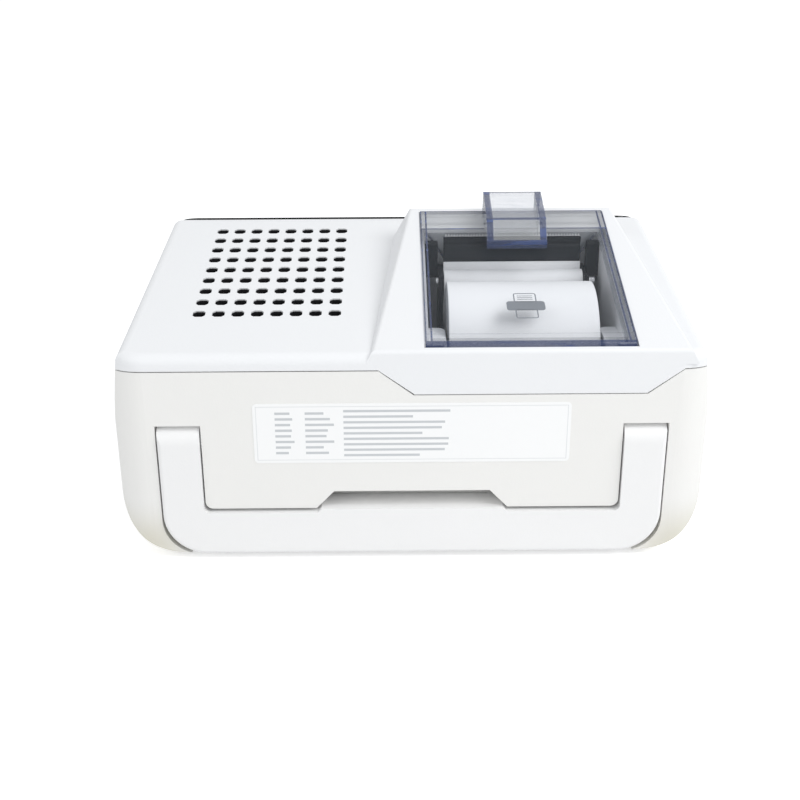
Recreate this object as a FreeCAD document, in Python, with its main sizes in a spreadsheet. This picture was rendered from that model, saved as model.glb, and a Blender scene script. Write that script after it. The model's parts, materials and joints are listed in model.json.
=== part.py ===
import FreeCAD, Part
import os
import re
import Sketcher
from FreeCAD import Placement, Rotation, Vector

# Bench-top immunoassay analyzer, seen from its handle side in the photograph.
# Millimetres. The origin is on the table under the middle of the case.
# +Z is up, -Y is the side with the carrying handle, +Y the side with the screen.

# Driving dimensions: name, value, what it is
SIZES = (
    ("case_width", 222.0, "case across the widest place"),
    ("overall_depth", 211.0, "handle face to front face"),
    ("wall", 2.5, "moulded wall of both shells"),
    ("seam", 0.4, "open line between the two shells"),
    ("foot_height", 2.5, "rubber foot below the lower shell"),
    ("foot_radius", 7.0, "rubber foot"),
    ("foot_inset_x", 33.5, "foot centre from the side of the case"),
    ("foot_inset_y", 33.0, "foot centre from the front and rear faces"),
    ("plan_corner", 14.0, "upright corners of the case"),
    ("floor_corner", 26.0, "rounding along the lower sides"),
    ("side_lean_start", 50.0, "height where the sides start to lean in"),
    ("side_lean", 7.5, "how far the sides lean in at the ridge"),
    ("rear_height", 82.0, "top of the rear face"),
    ("ridge_height", 102.0, "ridge between the vented top and the screen"),
    ("ridge_setback", 121.0, "ridge from the rear face"),
    ("front_height", 58.0, "top of the front face"),
    ("parting_rear", 76.0, "seam height at the rear"),
    ("parting_front", 50.0, "seam height at the front"),
    ("shoulder_radius", 4.0, "rounding round the top of the case"),
    ("tongue_depth", 9.0, "how far the upper shell dips below the seam at the printer"),
    ("block_inset", 26.0, "right edge of the raised printer block from the side of the case"),
    ("block_width", 84.0, "raised printer block across its top"),
    ("block_flank", 16.0, "how far each flank of the block spreads"),
    ("block_rear_height", 83.5, "block top at the rear face"),
    ("block_run", 98.0, "block from the rear face to its far edge"),
    ("block_slope", 16.5, "slope of the block top, degrees"),
    ("block_edge", 1.6, "rounded edges of the block top"),
    ("lid_width", 76.0, "clear printer lid"),
    ("lid_length", 95.0, "clear printer lid along its slope"),
    ("lid_setback", 2.6, "lid from the rear face"),
    ("lid_gap", 0.5, "gap round the lid"),
    ("lid_plate", 2.0, "window of the lid"),
    ("lid_rim", 7.0, "depth of the rim round the lid"),
    ("lid_rim_wall", 2.2, "thickness of that rim"),
    ("lid_proud", 0.6, "lid above the block"),
    ("lid_apron", 18.0, "depth of the far wall of the lid"),
    ("apron_setback", 6.0, "far wall of the lid from its far edge"),
    ("apron_foot", 56.0, "width of that wall at its foot"),
    ("hinge_pin_radius", 1.5, "pins of the lid hinge"),
    ("hinge_pin_length", 9.0, "pins of the lid hinge"),
    ("hinge_play", 0.06, "running clearance of the hinges"),
    ("grip_width", 24.0, "finger grip on the lid"),
    ("grip_length", 30.0, "finger grip along the lid"),
    ("grip_rise", 9.0, "finger grip above the lid"),
    ("grip_wall", 2.5, "walls of the finger grip"),
    ("collar_wall", 2.4, "collar under the block round the lid"),
    ("collar_depth", 13.0, "collar below the block top"),
    ("bay_wall", 1.8, "wall of the paper bay"),
    ("bay_floor", 40.5, "underside of the paper bay above the table"),
    ("bay_fit", 0.3, "gap between bay and collar"),
    ("bay_step_height", 26.0, "height of the roll rests above the bay floor"),
    ("bay_step_run", 26.0, "length of the roll rests"),
    ("paper_width", 57.0, "thermal paper"),
    ("roll_radius", 25.5, "paper roll"),
    ("roll_setback", 48.0, "roll axis from the rear face"),
    ("roll_core_radius", 8.0, "outside of the cardboard core"),
    ("roll_core_wall", 1.5, "wall of the cardboard core"),
    ("paper_thickness", 0.3, "leading end of the paper"),
    ("paper_leaves", 25.0, "where the paper leaves the roll, degrees below its axis"),
    ("paper_rise", 7.0, "leading end of the paper above the platen axis"),
    ("platen_radius", 5.0, "rubber sleeve of the platen roller"),
    ("platen_shaft_radius", 2.0, "steel shaft of the platen roller"),
    ("platen_setback", 77.0, "platen axis from the rear face"),
    ("platen_height", 86.0, "platen axis above the table"),
    ("cheek", 2.0, "side plates of the printer frame"),
    ("printer_gap", 0.3, "gap beside the paper in the printer"),
    ("motor_radius", 6.0, "paper feed motor"),
    ("motor_length", 18.0, "paper feed motor"),
    ("motor_setback", 85.0, "motor axis from the rear face"),
    ("motor_height", 61.0, "motor axis above the table"),
    ("slot_width", 4.8, "one slot of the vent"),
    ("slot_length", 4.9, "one slot of the vent, along the slope"),
    ("slot_corner", 1.1, "cut corner of a slot"),
    ("slot_pitch_x", 7.36, "from slot to slot across"),
    ("slot_pitch_y", 9.6, "from slot to slot along the slope"),
    ("slot_columns", 8, "slots across"),
    ("slot_rows", 9, "slots along the slope"),
    ("vent_inset", 56.5, "middle of the vent from the left side of the case"),
    ("vent_start", 33.0, "first row from the rear edge along the slope"),
    ("fan_side", 50.0, "square fan frame"),
    ("fan_depth", 15.0, "fan frame"),
    ("fan_drop", 1.0, "fan below the inside of the top"),
    ("fan_hub_radius", 10.0, "fan hub"),
    ("fan_blades", 7, "fan blades"),
    ("fan_bore_radius", 23.5, "air way of the fan"),
    ("fan_tip_gap", 1.0, "fan blades from the air way"),
    ("fan_shaft_radius", 1.5, "fan shaft"),
    ("blade_chord", 9.0, "width of a fan blade"),
    ("blade_thick", 1.2, "fan blades"),
    ("blade_twist", 40.0, "fan blades, degrees from flat"),
    ("strut_width", 3.0, "arms that hold the middle of the fan"),
    ("rotor_gap", 0.8, "fan rotor inside its frame"),
    ("hub_plate", 2.4, "middle of the fan frame under the rotor"),
    ("fan_screw_radius", 1.4, "screws of the fan"),
    ("fan_screw_inset", 4.5, "screws from the sides of the fan"),
    ("fan_pad_radius", 3.5, "pads of the cover that the fan hangs from"),
    ("handle_proud", 1.5, "handle beyond the rear face"),
    ("handle_width", 187.0, "handle across its arms"),
    ("handle_arm", 15.6, "width of an arm"),
    ("handle_thick", 13.0, "handle front to back"),
    ("handle_bottom", 2.6, "underside of the handle above the table"),
    ("handle_bar", 17.4, "height of the bar"),
    ("handle_raise", 1.4, "raised middle of the bar"),
    ("handle_raise_half", 34.0, "half length of the raised middle"),
    ("handle_pivot_height", 48.0, "handle axis above the table"),
    ("handle_outer_radius", 16.0, "outer corners of the handle"),
    ("handle_inner_radius", 2.3, "inner corners of the handle"),
    ("handle_edge", 1.6, "rounded edges of the handle"),
    ("handle_gap", 0.6, "gap beside the arms"),
    ("handle_bar_gap", 1.3, "gap above the bar"),
    ("handle_ease", 2.0, "how much tighter the corners of its recess are, so that it swings clear"),
    ("handle_pin_radius", 3.0, "pivot pins of the handle"),
    ("scoop_half", 29.0, "half length of the finger scoop at its top"),
    ("scoop_flare", 8.0, "how far the scoop widens to its foot"),
    ("scoop_height", 7.0, "finger scoop above the handle bar"),
    ("glass_width", 204.0, "screen glass"),
    ("glass_length", 92.0, "screen glass along the front slope"),
    ("glass_thick", 2.0, "screen glass"),
    ("glass_proud", 1.0, "screen glass above the slope"),
    ("glass_start", 0.6, "screen glass from the ridge"),
    ("glass_corner", 9.0, "corners of the screen glass"),
    ("display_width", 165.0, "display module"),
    ("display_length", 76.0, "display module"),
    ("display_depth", 5.0, "display module"),
    ("display_gap", 0.3, "between glass, display and housing"),
    ("post_radius", 4.0, "screw posts"),
    ("post_inset_x", 25.0, "screw posts from the side"),
    ("post_inset_y", 24.0, "screw posts from the front and rear"),
    ("screw_radius", 1.5, "case screws"),
    ("screw_head_radius", 2.8, "case screws"),
    ("screw_head", 2.2, "case screws"),
    ("screw_fit", 0.15, "round the case screws"),
    ("board_thick", 1.6, "circuit boards"),
    ("board_width", 98.0, "main circuit board"),
    ("board_length", 88.0, "main circuit board"),
    ("board_height", 22.0, "underside of the main board above the table"),
    ("board_inset", 80.0, "middle of the main board from the left side of the case"),
    ("board_setback", 55.5, "middle of the main board from the front face"),
    ("supply_width", 62.0, "power supply board"),
    ("supply_length", 50.0, "power supply board"),
    ("supply_inset", 51.0, "middle of the power supply from the left side of the case"),
    ("supply_setback", 62.0, "middle of the power supply from the rear face"),
    ("supply_height", 12.0, "underside of the supply board above the table"),
    ("cell_radius", 9.2, "cells of the battery pack"),
    ("cell_length", 66.0, "cells of the battery pack"),
    ("pack_skin", 0.6, "sleeve round the cells"),
    ("pack_setback", 50.0, "middle of the battery pack from the rear face"),
    ("tray_width", 26.0, "test card tray"),
    ("tray_length", 74.0, "test card tray"),
    ("tray_thick", 5.0, "test card tray"),
    ("tray_height", 24.0, "underside of the tray above the table"),
    ("tray_inset", 61.0, "middle of the test card tray from the right side of the case"),
    ("tray_gap", 1.0, "round the tray in the front wall"),
    ("card_width", 20.5, "pocket for the test card"),
    ("card_length", 60.0, "pocket for the test card"),
    ("card_depth", 2.6, "pocket for the test card"),
    ("tray_travel", 45.0, "how far the tray comes out"),
    ("rail_radius", 1.5, "guide rods of the tray"),
    ("rail_spread", 9.0, "guide rods from the middle of the tray"),
    ("rail_drop", 4.0, "guide rods below the tray"),
    ("rail_play", 0.08, "tray shoe on the guide rods"),
    ("shoe_length", 16.0, "shoe under the tray"),
    ("shoe_setback", 4.0, "shoe from the inner end of the tray"),
    ("frame_wall", 2.0, "walls of the tray frame"),
    ("frame_gap", 1.5, "between the tray and the walls of its frame"),
    ("frame_length", 88.0, "tray frame"),
    ("screw_rod_radius", 2.0, "lead screw of the tray"),
    ("stepper_side", 15.0, "square motor of the tray"),
    ("stepper_length", 14.0, "square motor of the tray"),
    ("optics_height", 20.0, "optical head"),
    ("optics_clear", 1.5, "optical head above the tray"),
    ("optics_length", 34.0, "optical head"),
    ("optics_setback", 46.0, "optical head from the front face"),
    ("button_radius", 6.0, "power button"),
    ("button_travel", 1.2, "power button"),
    ("button_inset", 41.0, "power button from the left side of the case"),
    ("button_height", 30.0, "power button above the table"),
    ("button_gap", 0.35, "round the power button"),
    ("inlet_width", 27.0, "mains inlet, along the side of the case"),
    ("inlet_height", 20.0, "mains inlet"),
    ("inlet_setback", 85.5, "middle of the mains inlet from the front face"),
    ("inlet_z", 34.0, "middle of the mains inlet above the table"),
    ("inlet_depth", 22.0, "mains inlet into the case"),
    ("inlet_flange", 2.0, "flange of the mains inlet"),
    ("rocker_width", 12.0, "mains switch, along the side of the case"),
    ("rocker_height", 18.0, "mains switch"),
    ("rocker_setback", 57.5, "middle of the mains switch from the front face"),
    ("rocker_tilt", 6.0, "mains switch tilts this far, degrees"),
    ("rocker_axis", 3.5, "axis of the mains switch from the side of the case"),
    ("trunnion_radius", 1.2, "pivots of the mains switch"),
    ("trunnion_end", 0.4, "pivots of the mains switch from the outside of its frame"),
    ("port_width", 14.0, "one data port"),
    ("port_height", 6.5, "one data port"),
    ("port_setback", 33.5, "middle of the data ports from the front face"),
    ("speaker_radius", 13.0, "loudspeaker"),
    ("speaker_depth", 6.0, "loudspeaker"),
    ("speaker_x", -6.0, "loudspeaker, from the middle of the case"),
    ("speaker_setback", 46.0, "middle of the loudspeaker from the rear face"),
)

# Places worked out from the driving dimensions
PLACES = (
    ("rear_y", "handle_proud - overall_depth / 2"),
    ("front_y", "overall_depth / 2"),
    ("ridge_y", "rear_y + ridge_setback"),
    ("half_width", "case_width / 2"),
    ("block_right", "half_width - block_inset"),
    ("block_left", "block_right - block_width"),
    ("vent_centre", "vent_inset - half_width"),
    ("board_centre_x", "board_inset - half_width"),
    ("board_centre_y", "front_y - board_setback"),
    ("supply_centre_x", "supply_inset - half_width"),
    ("supply_centre_y", "rear_y + supply_setback"),
    ("pack_centre_x", "(block_left + block_right) / 2"),
    ("pack_centre_y", "rear_y + pack_setback"),
    ("tray_centre_x", "half_width - tray_inset"),
    ("button_x", "button_inset - half_width"),
    ("inlet_y", "front_y - inlet_setback"),
    ("rocker_y", "front_y - rocker_setback"),
    ("port_y", "front_y - port_setback"),
    ("speaker_y", "rear_y + speaker_setback"),
    ("top_slope", "atan((ridge_height - rear_height) / ridge_setback) / 1 deg"),
    ("front_run", "front_y - ridge_y"),
    ("front_slope", "atan((ridge_height - front_height) / front_run) / 1 deg"),
    ("parting_slope", "(parting_rear - parting_front) / (front_y - rear_y)"),
    ("block_far_y", "rear_y + block_run"),
    ("block_far_height", "block_rear_height + block_run * tan(block_slope * 1 deg)"),
    ("lid_y", "rear_y + lid_setback"),
    ("lid_z", "block_rear_height + lid_setback * tan(block_slope * 1 deg)"),
    ("lid_left", "(block_left + block_right - lid_width) / 2"),
    ("lid_right", "lid_left + lid_width"),
    ("hinge_along", "lid_rim / 2"),
    ("hinge_drop", "lid_rim / 2 - lid_proud"),
    ("roll_y", "rear_y + roll_setback"),
    ("platen_y", "rear_y + platen_setback"),
    ("motor_y", "rear_y + motor_setback"),
    ("bay_left", "lid_left - lid_gap + bay_fit"),
    ("bay_right", "lid_right + lid_gap - bay_fit"),
    ("lid_run", "cos(block_slope * 1 deg)"),
    ("lid_climb", "sin(block_slope * 1 deg)"),
    ("bay_rear_y", "lid_y - lid_gap * lid_run + collar_depth * lid_climb + bay_fit"),
    ("rim_drop", "lid_rim - lid_proud + lid_gap"),
    ("bay_far_y", "lid_y + (lid_length + lid_gap) * lid_run + rim_drop * lid_climb - bay_fit"),
    ("bay_top_z", "lid_z - rim_drop / lid_run"),
    ("bay_rear_z", "bay_top_z + (bay_rear_y - lid_y) * lid_climb / lid_run"),
    ("bay_far_z", "bay_top_z + (bay_far_y - lid_y) * lid_climb / lid_run"),
    ("strip_y", "platen_y + platen_radius + printer_gap"),
    ("head_y", "strip_y + paper_thickness + printer_gap"),
    ("paper_left", "(lid_left + lid_right - paper_width) / 2"),
    ("paper_right", "paper_left + paper_width"),
    ("handle_y", "-overall_depth / 2"),
    ("handle_pivot_y", "handle_y + handle_thick / 2"),
    ("handle_top", "handle_pivot_height + handle_thick / 2"),
    ("bar_top", "handle_bottom + handle_bar"),
    ("arm_inner", "handle_width / 2 - handle_arm"),
    ("recess_back", "handle_y + handle_thick + handle_gap"),
    ("post_x", "half_width - post_inset_x"),
    ("post_rear_y", "rear_y + post_inset_y"),
    ("post_front_y", "front_y - post_inset_y"),
    ("tray_y", "front_y - wall / 2"),
    ("tray_top", "tray_height + tray_thick"),
    ("rail_height", "tray_height - rail_drop"),
    ("tub_floor", "foot_height + wall"),
    ("shoe_y", "tray_y - tray_length + shoe_setback"),
    ("frame_far_y", "shoe_y + shoe_length + tray_travel + printer_gap + frame_wall"),
    ("frame_near_y", "frame_far_y - frame_length"),
    ("frame_inner", "tray_width / 2 + frame_gap"),
    ("frame_outer", "frame_inner + frame_wall"),
    ("frame_top", "tray_top + optics_clear"),
    ("cheek_left", "paper_left - printer_gap"),
    ("cheek_right", "paper_right + printer_gap"),
    ("bay_floor_top", "bay_floor + bay_wall"),
    ("roll_height", "bay_floor_top + printer_gap + roll_radius"),
    ("bay_step_y", "recess_back + wall + bay_fit"),
    ("bay_step_z", "handle_top + handle_gap + wall + bay_fit"),
    ("vent_middle", "vent_start + (slot_rows - 1) * slot_pitch_y / 2"),
    ("fan_top", "wall + fan_drop"),
    ("fan_bottom", "fan_top + fan_depth"),
)

doc = FreeCAD.newDocument("immunoassay_analyzer")
sheet = doc.addObject("Spreadsheet::Sheet", "Sizes")
for row, (alias, size, meaning) in enumerate(SIZES, 1):
    sheet.set(f"A{row}", meaning)
    sheet.set(f"B{row}", str(size))
    sheet.setAlias(f"B{row}", alias)
for row, (alias, formula) in enumerate(PLACES, len(SIZES) + 2):
    sheet.set(f"B{row}", "=" + formula)
    sheet.setAlias(f"B{row}", alias)
sheet.recompute()
working = doc.addObject("Spreadsheet::Sheet", "Working")

ALIASES = {row[0] for row in SIZES + PLACES}
WORD = re.compile(r"[a-z][a-z_]+")
PLANE_AXIS = {"YZ_Plane": "x", "XZ_Plane": "y", "XY_Plane": "z"}
AXES = {"x": Vector(1, 0, 0), "y": Vector(0, 1, 0), "z": Vector(0, 0, 1)}
ROD_TURN = {
    "x": Rotation(Vector(0, 1, 0), 90),
    "y": Rotation(Vector(1, 0, 0), -90),
    "z": Rotation(),
}
TOLERANCE = 1e-4
NODES = []


def tied(formula):
    """The formula with each size named as a cell of the sheet."""
    return WORD.sub(
        lambda word: "Sizes." + word.group() if word.group() in ALIASES else word.group(),
        formula,
    )


def number(formula):
    """The value of a formula with the sizes as they are."""
    working.set("A1", "=" + tied(formula))
    working.recompute()
    return float(working.get("A1"))


def tie(thing, name, formula):
    thing.setExpression(name, tied(formula))


def node(thing, label=None):
    """Marks a finished piece of the analyzer and gives it its own name."""
    if label:
        thing.Label = label
    NODES.append(thing)
    return thing


def outline(sketch, points):
    """A closed outline through points, each a pair of formulas."""
    places = [Vector(number(u), number(v), 0) for u, v in points]
    for here, there in zip(places, places[1:] + places[:1]):
        sketch.addGeometry(Part.LineSegment(here, there), False)
    for side in range(len(points)):
        after = (side + 1) % len(points)
        sketch.addConstraint(Sketcher.Constraint("Coincident", side, 2, after, 1))
    for side, (formula_u, formula_v) in enumerate(points):
        for kind, formula, value in (
            ("DistanceX", formula_u, places[side].x),
            ("DistanceY", formula_v, places[side].y),
        ):
            index = sketch.addConstraint(
                Sketcher.Constraint(kind, -1, 1, side, 1, value)
            )
            tie(sketch, f"Constraints[{index}]", formula)


def prism(label, plane, points, length, centre="0"):
    """A body whose outline lies in a plane and runs the same length to each side of centre."""
    body = doc.addObject("PartDesign::Body", label)
    sketch = body.newObject("Sketcher::SketchObject", label + "_outline")
    support = next(f for f in body.Origin.OriginFeatures if f.Role == plane)
    sketch.AttachmentSupport = [(support, "")]
    sketch.MapMode = "FlatFace"
    outline(sketch, points)
    pad = body.newObject("PartDesign::Pad", label + "_pad")
    pad.Profile = sketch
    pad.SideType = "Symmetric"
    tie(pad, "Length", length)
    tie(body, f"Placement.Base.{PLANE_AXIS[plane]}", centre)
    return body


def rectangle(left, right, low, high):
    return [(left, low), (right, low), (right, high), (left, high)]


def rounded(body, radius, chosen):
    """Rounds the edges of a body that the function chosen picks."""
    doc.recompute()
    base = body.Tip
    edges = [f"Edge{n}" for n, edge in enumerate(base.Shape.Edges, 1) if chosen(edge)]
    fillet = body.newObject("PartDesign::Fillet", body.Label + "_rounding")
    fillet.Base = (base, edges)
    tie(fillet, "Radius", radius)
    return body


def softened(label, base, radius, chosen):
    """The base with the edges that the function chosen picks rounded."""
    doc.recompute()
    fillet = doc.addObject("Part::Fillet", label)
    fillet.Base = base
    size = number(radius)
    fillet.Edges = [
        (n, size, size) for n, edge in enumerate(base.Shape.Edges, 1) if chosen(edge)
    ]
    return fillet


def runs_along(edge, axis):
    """Whether an edge is straight and lies along an axis."""
    if not isinstance(edge.Curve, Part.Line):
        return False
    return abs(abs(edge.Curve.Direction.dot(AXES[axis])) - 1) < TOLERANCE


def middle(edge):
    return edge.BoundBox.Center


def box(label, x, y, z):
    """A block between two formulas along each axis."""
    block = doc.addObject("Part::Box", label)
    for side, axis, (low, high) in (("Length", "x", x), ("Width", "y", y), ("Height", "z", z)):
        tie(block, side, f"({high}) - ({low})")
        tie(block, "Placement.Base." + axis, low)
    return block


def rod(label, axis, radius, x, y, z, length):
    """A round bar that starts at x, y, z and runs up its axis."""
    bar = doc.addObject("Part::Cylinder", label)
    bar.Placement = Placement(Vector(), ROD_TURN[axis])
    tie(bar, "Radius", radius)
    tie(bar, "Height", length)
    for name, formula in (("x", x), ("y", y), ("z", z)):
        tie(bar, "Placement.Base." + name, formula)
    return bar


def fuse(label, *shapes):
    joined = doc.addObject("Part::MultiFuse", label)
    joined.Shapes = list(shapes)
    joined.Refine = True
    return joined


def common(label, *shapes):
    shared = doc.addObject("Part::MultiCommon", label)
    shared.Shapes = list(shapes)
    return shared


def cut(label, base, *tools):
    rest = doc.addObject("Part::Cut", label)
    rest.Base = base
    rest.Tool = tools[0] if len(tools) == 1 else fuse(label + "_tools", *tools)
    return rest


def group(label, *shapes):
    """Separate solids that make one node."""
    together = doc.addObject("Part::Compound", label)
    together.Links = list(shapes)
    return together


def tilt(thing, slope, y, z, falls=False):
    """Lays a piece, drawn flat, on a slope that starts at y, z."""
    axis = Vector(-1, 0, 0) if falls else Vector(1, 0, 0)
    thing.Placement = Placement(Vector(), Rotation(axis, number(slope)))
    tie(thing, "Placement.Base.y", y)
    tie(thing, "Placement.Base.z", z)
    tie(thing, "Placement.Rotation.Angle", slope)
    return thing


def on_lid_slope(thing):
    return tilt(thing, "block_slope", "lid_y", "lid_z")


def on_vent_slope(thing):
    return tilt(thing, "top_slope", "rear_y", "rear_height")


def on_screen_slope(thing):
    return tilt(thing, "front_slope", "ridge_y", "ridge_height", falls=True)


def case_form(label, inset):
    """The whole case as one solid, its faces moved inward by inset."""
    across = prism(
        label + "_across",
        "XZ_Plane",
        [
            (f"-half_width + {inset}", f"foot_height + {inset}"),
            (f"half_width - {inset}", f"foot_height + {inset}"),
            (f"half_width - {inset}", "side_lean_start"),
            (f"half_width - side_lean - {inset}", "ridge_height"),
            (f"half_width - side_lean - {inset}", "ridge_height + wall"),
            (f"-half_width + side_lean + {inset}", "ridge_height + wall"),
            (f"-half_width + side_lean + {inset}", "ridge_height"),
            (f"-half_width + {inset}", "side_lean_start"),
        ],
        "2 * overall_depth",
    )
    rounded(
        across,
        f"floor_corner - {inset}",
        lambda edge: runs_along(edge, "y") and middle(edge).z < number("floor_corner"),
    )
    plan = prism(
        label + "_plan",
        "XY_Plane",
        rectangle(
            f"-half_width + {inset}",
            f"half_width - {inset}",
            f"rear_y + {inset}",
            f"front_y - {inset}",
        ),
        "4 * ridge_height",
    )
    rounded(plan, f"plan_corner - {inset}", lambda edge: runs_along(edge, "z"))
    along = prism(
        label + "_along",
        "YZ_Plane",
        [
            (f"rear_y + {inset}", f"foot_height + {inset}"),
            (f"front_y - {inset}", f"foot_height + {inset}"),
            (f"front_y - {inset}", f"front_height - {inset}"),
            ("ridge_y", f"ridge_height - {inset}"),
            (f"rear_y + {inset}", f"rear_height - {inset}"),
        ],
        "2 * case_width",
    )
    return common(label, across, plan, along)


def on_roof(edge, roof):
    """Whether both ends of an edge lie on a roof, given as its height at any y. The ridge isn't one."""
    if edge.BoundBox.ZLength < TOLERANCE and abs(middle(edge).y - number("ridge_y")) < TOLERANCE:
        return False
    return all(abs(end.Z - roof(end.Y)) < TOLERANCE for end in edge.Vertexes)


def rounded_case():
    """The outside of the case with its upper edges rounded."""
    rear_y, rear_height = number("rear_y"), number("rear_height")
    ridge_y, ridge_height = number("ridge_y"), number("ridge_height")
    rise = (ridge_height - rear_height) / (ridge_y - rear_y)
    fall = (ridge_height - number("front_height")) / number("front_run")

    def roof(y):
        return min(rear_height + (y - rear_y) * rise, ridge_height - (y - ridge_y) * fall)

    return softened(
        "case",
        case_form("case_block", "0"),
        "shoulder_radius",
        lambda edge: on_roof(edge, roof),
    )


def rounded_block():
    """The raised printer block with its upper edges rounded."""
    rear_y, low = number("rear_y"), number("block_rear_height")
    climb = (number("block_far_height") - low) / number("block_run")
    return softened(
        "block",
        block_form("block_sharp", "0"),
        "block_edge",
        lambda edge: on_roof(edge, lambda y: low + (y - rear_y) * climb),
    )


def half_space(label, lift):
    """Everything above the sloping seam, moved by lift."""
    reach = "(2 * overall_depth)"
    return prism(
        label,
        "YZ_Plane",
        [
            (f"rear_y - {reach}", f"parting_rear + {reach} * parting_slope + {lift}"),
            (f"front_y + {reach}", f"parting_front - {reach} * parting_slope + {lift}"),
            (f"front_y + {reach}", "4 * ridge_height"),
            (f"rear_y - {reach}", "4 * ridge_height"),
        ],
        "2 * case_width",
    )


def block_form(label, inset):
    """The raised block round the printer, its faces moved inward by inset."""
    foot = "(parting_rear - tongue_depth)"
    spread = f"(block_flank * (block_far_height - {foot}) / (block_far_height - rear_height))"
    across = prism(
        label + "_across",
        "XZ_Plane",
        [
            (f"block_left - {spread} + {inset}", foot),
            (f"block_right + {spread} - {inset}", foot),
            (f"block_right - {inset}", "block_far_height"),
            (f"block_left + {inset}", "block_far_height"),
        ],
        "2 * overall_depth",
    )
    along = prism(
        label + "_along",
        "YZ_Plane",
        [
            (f"rear_y + {inset}", f"rear_height - shoulder_radius - 2 * {inset}"),
            (f"block_far_y + tongue_depth - {inset}", f"rear_height - 2 * {inset}"),
            (f"block_far_y - {inset}", f"block_far_height - {inset}"),
            (f"rear_y + {inset}", f"block_rear_height - {inset}"),
        ],
        "2 * case_width",
    )
    return common(label, across, along)


def tongue(label, grow):
    """Where the upper shell dips down the rear face below the printer."""
    return prism(
        label,
        "XZ_Plane",
        [
            (f"block_left - {grow}", f"parting_rear - tongue_depth - {grow}"),
            (f"block_right + {grow}", f"parting_rear - tongue_depth - {grow}"),
            (f"block_right + block_flank - 2 + {grow}", "parting_rear + 1"),
            (f"block_left - block_flank + 2 - {grow}", "parting_rear + 1"),
        ],
        f"2 * (wall + {grow})",
        "rear_y",
    )


def corner_posts(label, radius, low, high):
    """Four upright rods at the case screws."""
    posts = []
    for side in ("-", ""):
        for end in ("rear", "front"):
            name = f"{label}_{end}_{'left' if side else 'right'}"
            posts.append(
                rod(name, "z", radius, f"{side}post_x", f"post_{end}_y", low, f"({high}) - ({low})")
            )
    return posts


def handle_recess(label, grow):
    """The room round the handle, its faces moved outward by grow. Its lower corners follow the handle."""
    outside = f"(handle_width / 2 + handle_gap + {grow})"
    inside = f"(arm_inner - handle_gap - {grow})"
    low = f"handle_bottom - handle_gap - {grow}"
    top = f"handle_top + handle_gap + {grow}"
    front = "(handle_y - wall)"
    back = f"(recess_back + {grow})"
    room = prism(
        label + "_room",
        "XZ_Plane",
        rectangle(f"-{outside}", outside, low, top),
        f"{back} - {front}",
        f"({back} + {front}) / 2",
    )
    rounded(
        room,
        f"handle_outer_radius - handle_ease + {grow}",
        lambda edge: runs_along(edge, "y") and middle(edge).z < number("bar_top"),
    )
    panel = prism(
        label + "_panel",
        "XZ_Plane",
        rectangle(f"-{inside}", inside, f"bar_top + handle_bar_gap + {grow}", f"{top} + wall"),
        f"{back} - {front} + 2 * wall",
        f"({back} + {front}) / 2",
    )
    rounded(
        panel,
        "handle_inner_radius + handle_gap",
        lambda edge: runs_along(edge, "y") and middle(edge).z < number("handle_pivot_height"),
    )
    return cut(label, room, panel)


def finger_scoop(label, grow):
    """The hollow above the handle bar that lets fingers behind it."""
    floor = "bar_top"
    across = prism(
        label + "_across",
        "XZ_Plane",
        [
            (f"-scoop_half - scoop_flare - {grow}", floor),
            (f"scoop_half + scoop_flare + {grow}", floor),
            (f"scoop_half + {grow}", f"bar_top + handle_bar_gap + scoop_height + {grow}"),
            (f"-scoop_half - {grow}", f"bar_top + handle_bar_gap + scoop_height + {grow}"),
        ],
        "2 * overall_depth",
    )
    along = prism(
        label + "_along",
        "YZ_Plane",
        [
            ("rear_y - wall", floor),
            (f"recess_back + {grow}", floor),
            (f"recess_back + {grow}", f"bar_top + handle_raise + handle_gap + {grow}"),
            (f"rear_y + {grow}", f"bar_top + handle_bar_gap + scoop_height + {grow}"),
            ("rear_y - wall", f"bar_top + handle_bar_gap + scoop_height + {grow}"),
        ],
        "2 * case_width",
    )
    return common(label, across, along)


def side_cuts():
    """The openings in the right side wall: mains inlet, switch and two data ports."""
    wall_run = ("half_width - 3 * wall", "half_width + wall")
    fit = "display_gap"
    cuts = []
    for label, middle_y, width, height in (
        ("inlet_cut", "inlet_y", "inlet_width", "inlet_height"),
        ("rocker_cut", "rocker_y", "rocker_width", "rocker_height"),
    ):
        cuts.append(
            box(
                label,
                wall_run,
                (f"{middle_y} - {width} / 2 - {fit}", f"{middle_y} + {width} / 2 + {fit}"),
                (f"inlet_z - {height} / 2 - {fit}", f"inlet_z + {height} / 2 + {fit}"),
            )
        )
    for label, low in (("port_cut_lower", "inlet_z - port_height - 1"), ("port_cut_upper", "inlet_z + 1")):
        cuts.append(
            box(
                label,
                wall_run,
                (f"port_y - port_width / 2 - {fit}", f"port_y + port_width / 2 + {fit}"),
                (f"{low} - {fit}", f"{low} + port_height + {fit}"),
            )
        )
    return cuts


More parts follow.
